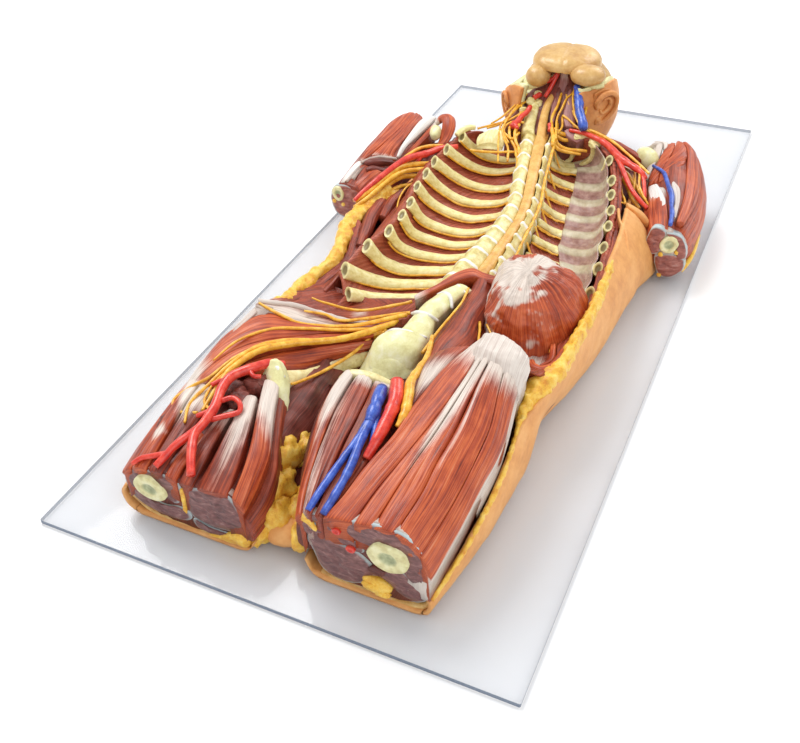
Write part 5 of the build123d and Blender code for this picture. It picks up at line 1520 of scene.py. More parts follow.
piece("arm_core_right",
  [body_of_rings([[(-238, 60, 58), (-226, 58, 68), (-206, 56, 66), (-188, 56, 52), (-192, 56, 28),
  (-216, 58, 14),
          (-238, 60, 20), (-246, 61, 42)],
        [(-238, 110, 62), (-226, 106, 76), (-202, 104, 76), (-180, 102, 60), (-182, 102, 30),
          (-208, 104, 12), (-236, 108, 18), (-247, 110, 42)],
        [(-236, 160, 66), (-222, 160, 82), (-198, 158, 82), (-176, 156, 64), (-178, 156, 34),
          (-202, 158, 14), (-232, 160, 18), (-247, 160, 42)],
        [(-234, 210, 66), (-220, 214, 84), (-194, 214, 86), (-170, 212, 68), (-172, 212, 36),
          (-198, 214, 16), (-226, 212, 20), (-243, 210, 44)],
        [(-226, 240, 60), (-216, 246, 80), (-194, 250, 84), (-168, 248, 66), (-174, 248, 40),
          (-198, 250, 22), (-218, 244, 26), (-230, 240, 42)],
        [(-210, 256, 58), (-204, 258, 68), (-194, 262, 70), (-182, 262, 60), (-184, 262, 48),
          (-194, 262, 42), (-204, 258, 44), (-210, 256, 50)]], rows=70, seed=601, swell=1.0, width=4,
      lumps=0.8)], MUSCLE, ["arm_muscles_right", "humerus_right"])
piece("deltoid_right",
  [strip([[(-206, 258, 88), (-200, 238, 95), (-202, 200, 91), (-207, 160, 87), (-213, 128, 83),
          (-216, 102, 81)],
        [(-224, 250, 84), (-228, 226, 86), (-230, 190, 82), (-228, 150, 82), (-225, 122, 82),
          (-221, 104, 81)]], 18, bulge=2.2, seed=603, swell=1.0, width=4, edge=1.2, down=(0.3, 0, -1),
      fade=lambda p, a: (p - 0.86) * 4),
    strip([[(-186, 244, 90), (-186, 207, 88), (-187, 176, 83), (-188, 152, 79), (-186, 140, 74)],
        [(-206, 258, 88), (-200, 238, 95), (-202, 200, 91), (-207, 160, 87), (-213, 124, 82)]], 18,
      bulge=2.2, seed=605, swell=1.0, width=4, edge=1.2, fade=lambda p, a: (p - 0.90) * 5)],
  MUSCLE_BRIGHT)
piece("deltoid_side_right",
  [strip([[(-224, 250, 83), (-228, 226, 86), (-230, 190, 82), (-228, 150, 82), (-225, 110, 80),
          (-226, 70, 74)],
        [(-238, 236, 58), (-245, 214, 54), (-248, 180, 52), (-248, 140, 50), (-247, 100, 48),
          (-245, 66, 44)]], 14, bulge=2, seed=606, swell=0.9, width=4, edge=1, down=(1, 0, 0),
      fade=lambda p, a: (p - 0.78) * 2.0 - a * 0.3)], MUSCLE)
piece("deltoid_edge_right",
  [tube([(-183, 143, 72), (-190, 133, 77), (-200, 124, 81), (-209, 112, 82), (-217, 100, 81)],
      (1.6, 2.2, 2.4, 2.2, 1.6), seed=607, wobble=0.2)], FASCIA)
piece("biceps_long_right",
  [strip([[(-215, 104, 80), (-217, 84, 79), (-219, 62, 74), (-222, 60, 68)],
        [(-228, 108, 76), (-230, 86, 72), (-231, 66, 66), (-232, 60, 60)]], 12, bulge=2, seed=609,
      swell=0.8, edge=1.2, fade=lambda p, a: 1.1 - p * 0.9)], TENDON)
piece("biceps_stump_right",
  [strap([(-213, 104, 78), (-204, 108, 80), (-194, 118, 77), (-185, 132, 72)], (8, 13, 14, 9),
      (7, 9, 10, 8), seed=611, swell=1.2),
    strap([(-205, 92, 76), (-197, 98, 76), (-188, 108, 70), (-184, 120, 66)], (8, 12, 12, 8),
      (7, 9, 9, 8), seed=612, swell=1.2)], MUSCLE_DEEP)
piece("brachialis_right",
  [strip([[(-200, 96, 77), (-205, 80, 75), (-210, 66, 70), (-213, 58, 64)],
        [(-176, 104, 66), (-180, 84, 64), (-185, 68, 60), (-190, 57, 52)]], 16, bulge=3.5, seed=613,
      swell=1.0, width=3.4, edge=1.6)], MUSCLE_BRIGHT)
piece("biceps_tendon_right",
  [strip([[(-180, 250, 92), (-186, 230, 91), (-187, 195, 86), (-187, 165, 80), (-185, 146, 74)],
        [(-167, 252, 88), (-172, 226, 83), (-176, 196, 80), (-180, 172, 76), (-181, 150, 70)]], 8,
      bulge=2.2, seed=615, swell=0.6, edge=1.2, fade=lambda p, a: np.ones_like(p))], TENDON)
piece("coracobrachialis_right",
  [strip([[(-168, 250, 86), (-171, 226, 82), (-174, 196, 77), (-178, 172, 73), (-180, 152, 68)],
        [(-160, 236, 80), (-163, 212, 74), (-168, 188, 70), (-173, 170, 66), (-177, 152, 63)]], 14,
      bulge=3.2, seed=617, swell=1.0, edge=1.8, fade=lambda p, a: 0.9 - p * 3.5)], MUSCLE_BRIGHT)
piece("coracoid_right", [lump((-150, 208, 88), (9, 14, 10), rough_by=0.08, size=9, seed=619, turn=20)],
  BONE_PALE)
piece("pectoralis_minor_right",
  [strap([(-158, 230, 92), (-149, 232, 100), (-138, 226, 103), (-132, 214, 97), (-132, 202, 86),
        (-136, 192, 76)], (10, 15, 18, 19, 18, 14), (8, 10, 10, 9, 8, 8), seed=621, swell=1.0,
      tendon=(0.18, 0))], MUSCLE_BRIGHT)
piece("cut_arm_right",
  [cut_face([(-238, 62), (-228, 66), (-214, 66), (-198, 60), (-188, 46), (-192, 30), (-212, 16), (-234, 18),
        (-243, 32), (-244, 48)], 57, dome=3.0, seed=623, thick=8)], CUT_RED)
piece("humerus_cut_right", [bone_ring((-231, 53), (9, 11), 55, hollow=0.5, seed=5, depth=8)], MARROW)
piece("cut_arm_fat_right",
  [lump((-238, 55, 40), (3, 2.5, 3), seed=6, size=3), lump((-224, 54, 38), (3, 2.5, 3), seed=7, size=3),
    lump((-206, 55, 48), (3, 2.5, 3), seed=8, size=3)], FAT)

piece("axillary_artery_right",
  [tube([(-108, 186, 84), (-123, 168, 88), (-134, 140, 91), (-150, 113, 94), (-160, 82, 92),
        (-170, 52, 86), (-178, 33, 80), (-184, 14, 74)], (3.6, 4.2, 4.8, 4.6, 4.2, 3.8, 3.4, 2.8),
      seed=625), tube([(-138, 130, 91), (-142, 124, 84), (-146, 120, 78)], (2.8, 2.4, 2.0), seed=626)],
  ARTERY, ["axillary_arteries"])
nerve_r = [(-124, 132, 78), (-147, 109, 83), (-155, 86, 87), (-164, 60, 83), (-172, 36, 77),
  (-184, 12, 70)]
piece("brachial_plexus_right",
  [tube([(-110, 180, 80), (-127, 173, 88), (-144, 147, 95), (-151, 120, 97), (-157, 100, 95)],
      (2.0, 2.4, 2.4, 2.0, 1.6), seed=627),
    tube([tuple(np.array(p) + (0, 3, 2)) for p in nerve_r], (3.4, 3.6, 3.6, 3.4, 3.0, 2.6), seed=628),
    tube([tuple(np.array(p) + (3, -5, -2)) for p in nerve_r], (3.2, 3.4, 3.4, 3.2, 3.0, 2.4), seed=629),
    tube([(-120, 116, 70), (-136, 108, 72), (-152, 92, 75), (-160, 68, 74), (-170, 40, 68), (-180, 16, 62)],
      (3.4, 3.6, 3.4, 3.0, 2.6, 2.2), seed=630),
    tube([(-118, 104, 66), (-134, 92, 66), (-146, 82, 68), (-158, 58, 68)], (2.6, 2.8, 2.4, 2.0),
      seed=631),
    tube([(-134, 92, 70), (-136, 70, 72), (-133, 44, 70), (-122, 12, 70)], (1.4, 1.3, 1.2, 1.0),
      seed=632)], NERVE, ["brachial_plexus"])
piece("armpit_fat_right",
  [fat_strip([(-158, 66, 68), (-163, 42, 65), (-171, 18, 62), (-173, -6, 60)], (12, 14, 17, 17),
      (12, 13, 14, 14), 633, size=8, lumps=2.0)], FAT)
piece("latissimus_right",
  [strap([(-166, 76, 50), (-160, 48, 58), (-155, 6, 60), (-147, -30, 58), (-140, -62, 56)],
      (12, 17, 18, 15, 10), (16, 20, 20, 18, 12), seed=635, swell=1.2),
    strap([(-150, 120, 46), (-146, 84, 56), (-146, 46, 58), (-143, 12, 55)], (12, 16, 17, 12),
      (14, 18, 18, 14), seed=636, swell=1.2),
    strap([(-138, 110, 46), (-134, 76, 52), (-134, 36, 54), (-134, -4, 54), (-134, -40, 54)],
      (8, 12, 13, 11, 8), (12, 14, 14, 12, 10), seed=637, swell=1.2)], MUSCLE)
piece("shoulder_floor_right",
  [slab([[(-96, 270, 52), (-120, 262, 50), (-146, 254, 50), (-172, 244, 52)],
        [(-104, 220, 48), (-124, 214, 46), (-148, 208, 46), (-180, 200, 48)],
        [(-112, 160, 40), (-130, 156, 36), (-150, 150, 36), (-186, 146, 40)],
        [(-118, 90, 36), (-134, 88, 30), (-150, 84, 30), (-164, 80, 34)],
        [(-118, 10, 34), (-134, 8, 30), (-150, 6, 30), (-166, 4, 34)]], 22, seed=638, swell=1.4,
      width=5, lumps=3, lump_size=16)], MUSCLE_DEEP)

# ---------------------------------------------------------------- left arm

piece("arm_core_left",
  [body_of_rings([[(192, 74, 64), (198, 76, 82), (214, 81, 76), (232, 88, 66), (238, 91, 44), (234, 89, 22),
          (218, 84, 14), (203, 78, 34)],
        [(180, 112, 62), (188, 112, 80), (208, 114, 86), (232, 118, 76), (243, 120, 50), (238, 118, 24),
          (214, 114, 12), (190, 110, 28)],
        [(168, 156, 62), (178, 158, 82), (202, 160, 92), (228, 162, 80), (241, 164, 54), (234, 162, 26),
          (208, 158, 12), (178, 156, 28)],
        [(160, 204, 64), (170, 206, 86), (192, 208, 98), (216, 208, 86), (230, 208, 58), (222, 206, 30),
          (198, 204, 14), (168, 202, 32)],
        [(160, 244, 66), (168, 248, 88), (186, 250, 98), (206, 250, 88), (216, 248, 62), (208, 246, 36),
          (188, 244, 22), (166, 242, 38)],
        [(172, 276, 72), (176, 278, 84), (186, 280, 90), (196, 280, 82), (200, 278, 66), (194, 276, 52),
          (184, 274, 46), (174, 274, 54)]], rows=70, seed=641, swell=1.0, width=4, lumps=0.8)], MUSCLE,
  ["arm_muscles_left", "humerus_left"])
piece("deltoid_left",
  [strip([[(165, 274, 94), (164, 250, 91), (163, 226, 87), (161, 206, 80), (164, 182, 78)],
        [(176, 280, 98), (178, 262, 100), (178, 236, 98), (174, 208, 92), (176, 180, 88)]], 16,
      bulge=1.8, seed=643, swell=1.2, width=3.6, edge=1.0, lean=0.5),
    strip([[(176, 280, 98), (178, 262, 100), (178, 236, 98), (174, 208, 92), (176, 180, 88)],
        [(184, 279, 101), (194, 262, 102), (200, 238, 99), (198, 212, 96), (192, 186, 93)]], 16,
      bulge=2.0, seed=644, swell=1.2, width=3.6, edge=1.0, lean=0.4),
    strip([[(184, 279, 101), (194, 262, 102), (202, 232, 99), (210, 192, 95), (216, 150, 91),
          (219, 96, 86)],
        [(194, 276, 98), (208, 262, 94), (220, 234, 87), (228, 194, 82), (232, 150, 80), (230, 100, 80)]],
      20, bulge=2.6, seed=645, swell=1.1, width=4, edge=1.2)], MUSCLE_BRIGHT)
piece("deltoid_side_left",
  [strip([[(194, 276, 97), (208, 262, 93), (220, 234, 86), (229, 194, 80), (233, 150, 78), (231, 100, 77),
          (230, 88, 72)],
        [(204, 268, 70), (222, 250, 62), (236, 220, 54), (243, 180, 50), (245, 140, 46), (243, 108, 44),
          (239, 94, 42)]], 16, bulge=2.5, seed=647, swell=1.1, width=4, edge=1.0, down=(-1, 0, 0))],
  MUSCLE_BRIGHT)
piece("arm_fascia_left",
  [strip([[(164, 180, 79), (168, 166, 80), (176, 146, 80), (184, 128, 80)],
        [(176, 176, 89), (188, 154, 91), (197, 132, 91), (197, 116, 88)]], 6, bulge=0.6, seed=649,
      swell=0.5, edge=1.5, fade=lambda p, a: 1.4 - p * 1.0),
    strip([[(191, 180, 93), (199, 160, 93), (207, 136, 91), (213, 104, 89)],
        [(198, 178, 95), (208, 164, 94), (214, 140, 91), (218, 100, 88)]], 4, bulge=0.5, seed=650,
      swell=0.4, edge=1.4)], TENDON)
piece("biceps_left",
  [strip([[(166, 176, 77), (174, 142, 76), (182, 110, 76), (190, 80, 78)],
        [(190, 168, 90), (198, 138, 90), (207, 108, 88), (214, 80, 82)]], 22, bulge=3.0, seed=651,
      swell=1.0, width=3.6, edge=1.6, fade=lambda p, a: 1.0 - p * 2.6)], MUSCLE_BRIGHT)
piece("shoulder_tendon_left",
  [strip([[(140, 262, 92), (143, 268, 84), (147, 250, 74), (153, 226, 72), (158, 206, 72)],
        [(150, 276, 97), (160, 276, 96), (162, 252, 90), (160, 230, 84), (160, 208, 76)]], 10,
      bulge=2.5, seed=653, swell=0.8, edge=1.4),
    strip([[(148, 276, 97), (160, 274, 97), (164, 260, 94)],
        [(158, 282, 92), (168, 280, 94), (170, 268, 94)]], 8, bulge=1.5, seed=654, swell=0.4)], TENDON)
piece("humeral_head_left",
  [lump((146, 252, 82), (20, 12, 15), rough_by=0.08, size=12, seed=655, turn=-35)], BONE_PALE)
piece("cephalic_vein_left",
  [tube([(160, 226, 86), (172, 206, 93), (181, 192, 96), (193, 163, 96), (202, 143, 94), (207, 121, 92),
        (212, 103, 91), (215, 82, 88)], (2.0, 2.6, 2.8, 3.2, 3.6, 3.0, 2.8, 2.4), seed=657, wobble=0.25)],
  VEIN)


def tilted(shape, slope, pivot):
    """Turns a cut face that was made square to Y so that it follows the arm's end."""
    points = shape[0].copy()
    points[:, 1] += slope * (points[:, 0] - pivot)
    return points, shape[1], shape[2]


arm_lobes_left = [
  ([(191, 68), (195, 84), (203, 86), (212, 79), (209, 64), (208, 52), (200, 48), (194, 58)], 3.0, 661),
  ([(213, 78), (222, 77), (231, 72), (238, 58), (239, 42), (230, 42), (228, 54), (226, 68)], 2.6, 662),
  ([(203, 44), (212, 47), (222, 48), (232, 44), (239, 38), (238, 24), (228, 15), (217, 14), (208, 24)],
    3.4, 663)]
piece("cut_arm_left",
  [tilted(cut_face(outline, 78, dome=dome, seed=seed, thick=8), 0.35, 213)
   for outline, dome, seed in arm_lobes_left], CUT_RED)
piece("cut_arm_fascia_left",
  [tilted(cut_face([(194, 60), (196, 80), (205, 84), (221, 77), (232, 70), (238, 55), (238, 31), (229, 16),
          (217, 15), (207, 27), (204, 42), (199, 52)], 80, dome=1.0, seed=664, thick=8, rim=0), 0.35,
      213)], FASCIA)
piece("humerus_cut_left",
  [tilted(bone_ring((218, 63), (10.5, 12), 76.5, hollow=0.5, seed=11, depth=9), 0.35, 213)], MARROW)
piece("arm_fat_left",
  [lump((210, 76, 48), (3, 2.5, 3.4), seed=12, size=3),
    lump((228, 83, 51), (3, 2.5, 3.4), seed=13, size=3),
    lump((212, 78, 17), (3, 2.5, 3.4), seed=14, size=3),
    strap([(243, 150, 40), (244, 122, 36), (242, 104, 30), (236, 92, 20)], (5, 6, 6, 5), (8, 9, 9, 7),
      seed=665, swell=0.3)], FAT)

piece("axillary_artery_left",
  [tube([(30, 268, 96), (50, 262, 98), (68, 252, 100), (92, 236, 100), (117, 210, 98), (134, 198, 97),
        (150, 188, 95), (160, 180, 90)], (2.6, 3.0, 3.6, 4.6, 5.4, 4.8, 4.2, 3.4), seed=667),
    tube(
      [(108, 218, 98), (122, 198, 94), (133, 180, 90), (147, 158, 85), (161, 145, 79), (176, 136, 73)],
      (3.2, 3.4, 3.4, 3.2, 3.0, 2.6), seed=668),
    tube([(150, 190, 94), (158, 178, 90), (164, 162, 84), (168, 150, 78)], (3.0, 2.8, 2.6, 2.2),
      seed=669)], ARTERY)
piece("brachial_plexus_left",
  [tube([(24, 278, 98), (46, 270, 101), (70, 260, 103), (100, 240, 103), (130, 213, 101), (152, 194, 98),
        (163, 184, 96)], (1.8, 1.8, 2.0, 2.0, 1.8, 1.8, 1.5), seed=671),
    tube([(148, 196, 98), (152, 180, 92), (156, 166, 86), (166, 152, 80), (176, 142, 74)],
      (1.6, 1.6, 1.6, 1.5, 1.3), seed=672),
    tube([(106, 226, 84), (120, 212, 82), (136, 198, 78), (152, 180, 74), (168, 160, 70)],
      (2.8, 3.0, 3.0, 2.6, 2.2), seed=673),
    tube([(104, 220, 76), (122, 206, 72), (136, 190, 68), (148, 168, 66), (164, 148, 64)],
      (2.6, 2.8, 2.6, 2.4, 2.0), seed=674),
    tube([(112, 206, 74), (124, 190, 68), (134, 172, 64), (146, 152, 62)], (2.2, 2.2, 2.0, 1.8),
      seed=675),
    tube([(140, 206, 86), (146, 186, 80), (150, 168, 74), (160, 152, 70)], (1.6, 1.6, 1.5, 1.3),
      seed=676),
    tube([(130, 176, 76), (138, 152, 78), (147, 128, 84), (152, 106, 92), (150, 96, 98)],
      (1.6, 1.5, 1.4, 1.2, 0.9), seed=677)], NERVE)
piece("armpit_left",
  [slab([[(92, 262, 60), (112, 258, 56), (132, 252, 56), (152, 246, 60)],
        [(112, 222, 52), (126, 216, 46), (142, 210, 46), (160, 204, 52)],
        [(124, 170, 40), (136, 168, 34), (150, 164, 34), (168, 160, 42)],
        [(134, 120, 40), (144, 118, 34), (156, 116, 34), (172, 114, 40)],
        [(146, 60, 50), (152, 60, 48), (158, 60, 46), (166, 60, 44)]], 24, seed=679, swell=1.4, width=5,
      lumps=3, lump_size=14)], MUSCLE_DEEP)
piece("scapula_edge_left",
  [strip([[(84, 268, 92), (104, 258, 92), (122, 250, 88), (140, 240, 84)],
        [(92, 276, 84), (110, 268, 84), (128, 262, 82), (146, 252, 80)]], 18, bulge=3, seed=681,
      swell=1.2, edge=1.5)], MUSCLE)
piece("skin_fold_left",
  [strip([[(148, 80, 98), (157, 54, 98), (170, 34, 95), (180, 10, 84)],
        [(152, 82, 97), (161, 54, 97), (175, 34, 92), (184, 10, 82)]], 8, bulge=1.5, seed=682,
      swell=0.2, edge=0.8),
    strip([[(156, 97, 99), (166, 98, 95), (176, 103, 86), (186, 106, 72)],
        [(160, 90, 96), (170, 90, 92), (182, 94, 82), (193, 96, 66)]], 8, bulge=1.5, seed=683,
      swell=0.2, edge=0.8)], SKIN)


# ---------------------------------------------------------------- head

HEAD_MIDDLE = np.array([-12.0, 362.0, 96.0])
HEAD_HALF = np.array([85.0, 78.0, 90.0])


def head_shell(grow, from_angle, to_angle, low, thick, rim, seed, rows=70, cols=120, lumps=0.6, ragged=1.0):
    """Part of the head's rounded wall, from its lowest point up to a sloping rim.

    Angles are in degrees from +X towards +Y; rim gives the rim's height at each point in plan.
    """
    turn = np.radians(np.linspace(from_angle, to_angle, cols))
    grid = np.zeros((rows, cols, 3))
    for k, angle in enumerate(turn):
        edge = HEAD_MIDDLE[:2] + np.array([math.cos(angle), math.sin(angle)]) * HEAD_HALF[:2] * 0.8
        high = rim(edge[0], edge[1]) + ragged * noise(np.array([[k / 4.0, seed, 0.0]]), seed)[0]
        top_lift = math.asin(np.clip((high - HEAD_MIDDLE[2]) / HEAD_HALF[2], -0.98, 0.98))
        low_lift = math.asin(np.clip((low - HEAD_MIDDLE[2]) / HEAD_HALF[2], -0.999, 0.98))
        lift = np.linspace(top_lift, low_lift, rows)
        grid[:, k, 0] = HEAD_MIDDLE[0] + np.cos(lift) * math.cos(angle) * (HEAD_HALF[0] + grow)
        grid[:, k, 1] = HEAD_MIDDLE[1] + np.cos(lift) * math.sin(angle) * (HEAD_HALF[1] + grow)
        grid[:, k, 2] = HEAD_MIDDLE[2] + np.sin(lift) * (HEAD_HALF[2] + grow)
    outward = unit((grid - HEAD_MIDDLE) / HEAD_HALF**2)
    grid = grid + outward * (lumps * rough(grid / 24, 3, seed))[..., None]
    grid[..., 2] = np.maximum(grid[..., 2], BACK_Z)
    inner = grid - outward * thick
    inner[..., 2] = np.maximum(inner[..., 2], BACK_Z + 0.5)
    ring = np.concatenate([grid, inner[:, ::-1]], 1)
    fibre = np.stack([ring[..., 0], ring[..., 2], np.zeros(ring.shape[:2])], -1)
    return loft(ring, fibre, "seam")


def rim_height(x, y):
    """The cut through the skull is a little higher on the body's left, and falls away at the back."""
    dip = math.exp(-(((x + 82) / 15) ** 2) - ((y - 362) / 45) ** 2)
    return 135 + 0.07 * (x + 12) - 0.45 * max(0.0, y - 362) - 25 * dip


piece("head_skin_visible",
  [head_shell(0, -57, 237, 6, 5, lambda x, y: rim_height(x, y) - 1, 701, rows=90, cols=190)], HEAD_SKIN,
  ["head_skin"])
piece("skull_visible",
  [head_shell(-4.5, -56, 236, 90, 9, lambda x, y: rim_height(x, y) + 4, 703, rows=40, cols=180,
      lumps=0.8)], BONE_PALE, ["skull"])
piece("skull_base",
  [strap([(-62, 318, 128), (-52, 318, 128), (-38, 326, 130), (-26, 338, 134), (-16, 350, 140)],
      (6, 8, 8, 7, 5), (8, 10, 9, 8, 6), seed=705, swell=0.6),
    strap([(10, 344, 142), (20, 334, 140), (32, 326, 140), (46, 324, 139), (56, 332, 140)],
      (5, 7, 8, 8, 7), (6, 7, 8, 9, 8), seed=706, swell=0.6),
    modelled(smooth_grid([[(-66, 400, 118), (-20, 410, 116), (20, 410, 120), (54, 400, 122)],
          [(-72, 362, 120), (-20, 366, 134), (20, 366, 136), (60, 362, 130)],
          [(-60, 326, 116), (-20, 352, 120), (10, 352, 122), (52, 330, 124)]], 30, 40), 12, edge=2,
      seed=704, swell=0.4)], BONE_PALE)


def brain_shape():
    """The front of the brain: a flattened dome with a faint fissure and shallow folds."""
    rows, sides = 90, 160
    lift = np.linspace(-0.06, np.pi / 2, rows)
    turn = np.linspace(0, 2 * np.pi, sides, endpoint=False)
    soft = lambda value, power: np.sign(value) * np.abs(value) ** power
    x = soft(np.cos(lift), 0.62)[:, None] * soft(np.cos(turn), 0.86)[None]
    y = soft(np.cos(lift), 0.62)[:, None] * soft(np.sin(turn), 0.86)[None]
    z = soft(np.sin(lift), 0.95)[:, None] * np.ones(sides)
    rings = np.stack([-9 + x * 50, 367 + y * 45, 153.5 + z * 18.5], -1)
    groove = np.exp(-(((rings[..., 0] + 8 + 0.1 * (rings[..., 1] - 366)) / 3.0) ** 2)) * 1.3
    outward = unit(np.stack([x / 50, y / 45, z / 18.5], -1))
    folds = np.abs(rough(rings / 21, 2, 711)) * 1.1
    rings = rings + outward * (folds - groove - 0.8)[..., None]
    rings[..., 2] = np.minimum(rings[..., 2], 174.5)
    fibre = np.stack([rings[..., 0], rings[..., 1], np.zeros((rows, sides))], -1)
    return loft(rings, fibre)


piece("brain_visible",
  [brain_shape(), lump((-10, 388, 114), (66, 47, 43), rough_by=0.02, size=14, seed=712)], BRAIN,
  ["brain"])
piece("temporal_lobes",
  [lump((-40, 328, 142), (18, 18, 15), rough_by=0.035, size=12, seed=713, turn=-10),
    lump((33, 330, 152), (25, 20, 14), rough_by=0.035, size=12, seed=714, turn=12)], BRAIN)

def ear(middle, aside, height, depth_way, size, seed):
    """A rounded ear: a shallow dish, its rolled outer rim and an inner ridge."""
    middle, aside, height, out = (np.asarray(v, float) for v in (middle, aside, height, depth_way))
    place = lambda u, v, w: tuple(middle + aside * u * size + height * v * size + out * w * size)
    rim = [place(u, v, w) for u, v, w in
           ((0.10, -0.05, 0.10), (0.02, 0.22, 0.14), (0.22, 0.46, 0.18), (0.52, 0.50, 0.22),
           (0.78, 0.30, 0.24), (0.84, -0.05, 0.22),
            (0.70, -0.40, 0.18), (0.42, -0.62, 0.12), (0.12, -0.60, 0.08))]
    ridge = [place(u, v, w) for u, v, w in
             ((0.26, 0.26, 0.12), (0.50, 0.30, 0.16), (0.62, 0.10, 0.17), (0.54, -0.16, 0.15),
             (0.34, -0.26, 0.12), (0.24, -0.10, 0.10))]
    lobe = place(0.24, -0.52, 0.04)
    dish = [[place(0.0, v, 0.0) for v in (-0.6, -0.3, 0.0, 0.3, 0.5)],
            [place(0.3, v, 0.03) for v in (-0.7, -0.3, 0.0, 0.3, 0.6)],
            [place(0.6, v, 0.10) for v in (-0.6, -0.3, 0.0, 0.3, 0.55)],
            [place(0.82, v, 0.20) for v in (-0.35, -0.2, 0.0, 0.15, 0.3)]]
    return [tube(rim, (0.06 * size, 0.08 * size, 0.09 * size, 0.09 * size, 0.09 * size, 0.09 * size,
        0.08 * size, 0.08 * size, 0.07 * size),
                 seed=seed, sides=18),
            tube(ridge, (0.05 * size, 0.06 * size, 0.07 * size, 0.07 * size, 0.06 * size, 0.04 * size),
            seed=seed + 1, sides=16),
            lump(lobe, (0.16 * size, 0.15 * size, 0.16 * size), rough_by=0.05, size=9, seed=seed + 2),
            modelled(smooth_grid(dish, 30, 40), 0.07 * size, edge=0.4, swell=0.1, seed=seed + 3,
            down=tuple(-out), follow=True)]


piece("ear_left",
  ear((49, 312, 114), (0.58, 0.84, 0.0), (0.06, 0.05, 0.95), (0.82, -0.55, 0.0), 41, 721), HEAD_SKIN)
piece("ear_right",
  ear((-74, 310, 96), (-0.45, 0.85, 0.0), (-0.05, 0.05, 1.0), (-0.85, -0.45, 0.0), 32, 731), HEAD_SKIN)

# ---------------------------------------------------------------- neck

piece("neck_core",
  [body_of_rings([[(-58, 248, 44), (-48, 248, 56), (-20, 246, 60), (4, 248, 56), (18, 254, 48),
  (22, 256, 40),
          (18, 254, 20), (0, 252, 12), (-46, 250, 20)],
        [(-62, 264, 70), (-50, 264, 84), (-24, 264, 88), (10, 266, 84), (30, 272, 80), (42, 276, 62),
          (36, 274, 16), (-6, 266, 9), (-54, 266, 18)],
        [(-60, 290, 78), (-50, 290, 92), (-26, 290, 96), (4, 290, 96), (34, 292, 96), (48, 296, 72),
          (42, 296, 20), (-8, 296, 10), (-54, 296, 22)],
        [(-62, 316, 88), (-52, 314, 106), (-30, 314, 108), (0, 314, 112), (26, 314, 112), (42, 318, 84),
          (38, 320, 26), (-8, 322, 14), (-56, 320, 30)],
        [(-58, 336, 100), (-48, 332, 118), (-28, 332, 124), (-4, 332, 126), (22, 330, 124),
          (40, 336, 96), (36, 340, 40), (-8, 342, 24), (-54, 340, 44)],
        [(-46, 352, 100), (-38, 350, 128), (-24, 348, 139), (-6, 348, 142), (12, 348, 140),
          (24, 350, 110), (22, 354, 60), (-8, 356, 44), (-42, 354, 60)]], rows=66, seed=741, swell=1.6,
      width=4, lumps=1.6)], MUSCLE_DEEP, ["neck_muscles"])
MAUVE_A = [(-13, 348, 146), (-12, 342, 134), (-11, 324, 116), (-8, 297, 106), (1, 262, 97)]
piece("longus_muscles_left",
  [strip([MAUVE_A, [(0, 346, 146), (4, 338, 135), (2, 329, 120), (1, 306, 108), (7, 262, 97)]], 10,
      bulge=3, seed=743, swell=0.8, width=3, edge=1.5, fade=lambda p, a: 1.2 - p * 4),
    strip([[(4, 340, 128), (6, 320, 118), (8, 302, 108), (12, 286, 102), (20, 272, 97)],
        [(14, 338, 128), (18, 322, 120), (24, 304, 112), (32, 288, 104), (40, 274, 97)]], 12, bulge=3,
      seed=745, swell=0.8, width=3, edge=1.5),
    strip([[(22, 316, 116), (24, 300, 108), (34, 284, 101)],
        [(30, 312, 116), (34, 298, 108), (44, 280, 100)]], 10, bulge=2, seed=747, swell=0.8, edge=1.5)],
  MUSCLE_MAUVE)
piece("scalene_muscles",
  [strip([[(-62, 300, 96), (-66, 276, 92), (-68, 256, 88)],
        [(-46, 296, 100), (-50, 274, 95), (-54, 254, 90)]], 14, bulge=3, seed=749, swell=0.8, edge=1.5),
    strip(
      [[(20, 268, 92), (30, 258, 88), (44, 254, 84)], [(30, 276, 95), (42, 268, 92), (54, 262, 88)]],
      14, bulge=2.5, seed=750, swell=0.8, edge=1.5)], MUSCLE_MAUVE)
piece("cervical_vertebrae",
  [column([[(-40, 334, 112), (-44, 312, 106), (-44, 292, 100), (-42, 272, 94), (-38, 254, 86)],
        [(-34, 336, 118), (-37, 314, 112), (-36, 294, 106), (-33, 272, 99), (-28, 252, 93)],
        [(-28, 338, 114), (-29, 316, 108), (-26, 294, 102), (-22, 272, 95), (-16, 252, 90)]], 18, 0.0,
      751, rows=70)]
  + [lump(place, (6.5, 5.0, 5.5), rough_by=0.3, size=5, seed=760 + k, turn=30)
   for k, place in enumerate(((-38, 340, 120), (-38, 326, 114), (-43, 309, 110), (-46, 288, 105),
   (-28, 330, 110), (-30, 312, 106)))],
  VERTEBRA)
piece("cord_upper",
  [strap([(-12, 342, 124), (-15, 328, 116), (-17, 312, 109), (-16, 296, 102), (-12, 276, 96),
        (-7, 254, 90), (-2, 232, 86)], (8, 10, 11, 12, 13, 13, 12), (7, 8, 8, 8, 8, 8, 7), seed=771,
      swell=0.3, sides=24)], CORD)
piece("jugular_vein",
  [tube(
      [(20, 324, 136), (26, 311, 131), (33, 295, 125), (38, 282, 119), (46, 270, 112), (52, 259, 105)],
      (4.6, 5.4, 6.4, 6.0, 6.4, 5.8), seed=773, wobble=0.25)], VEIN)
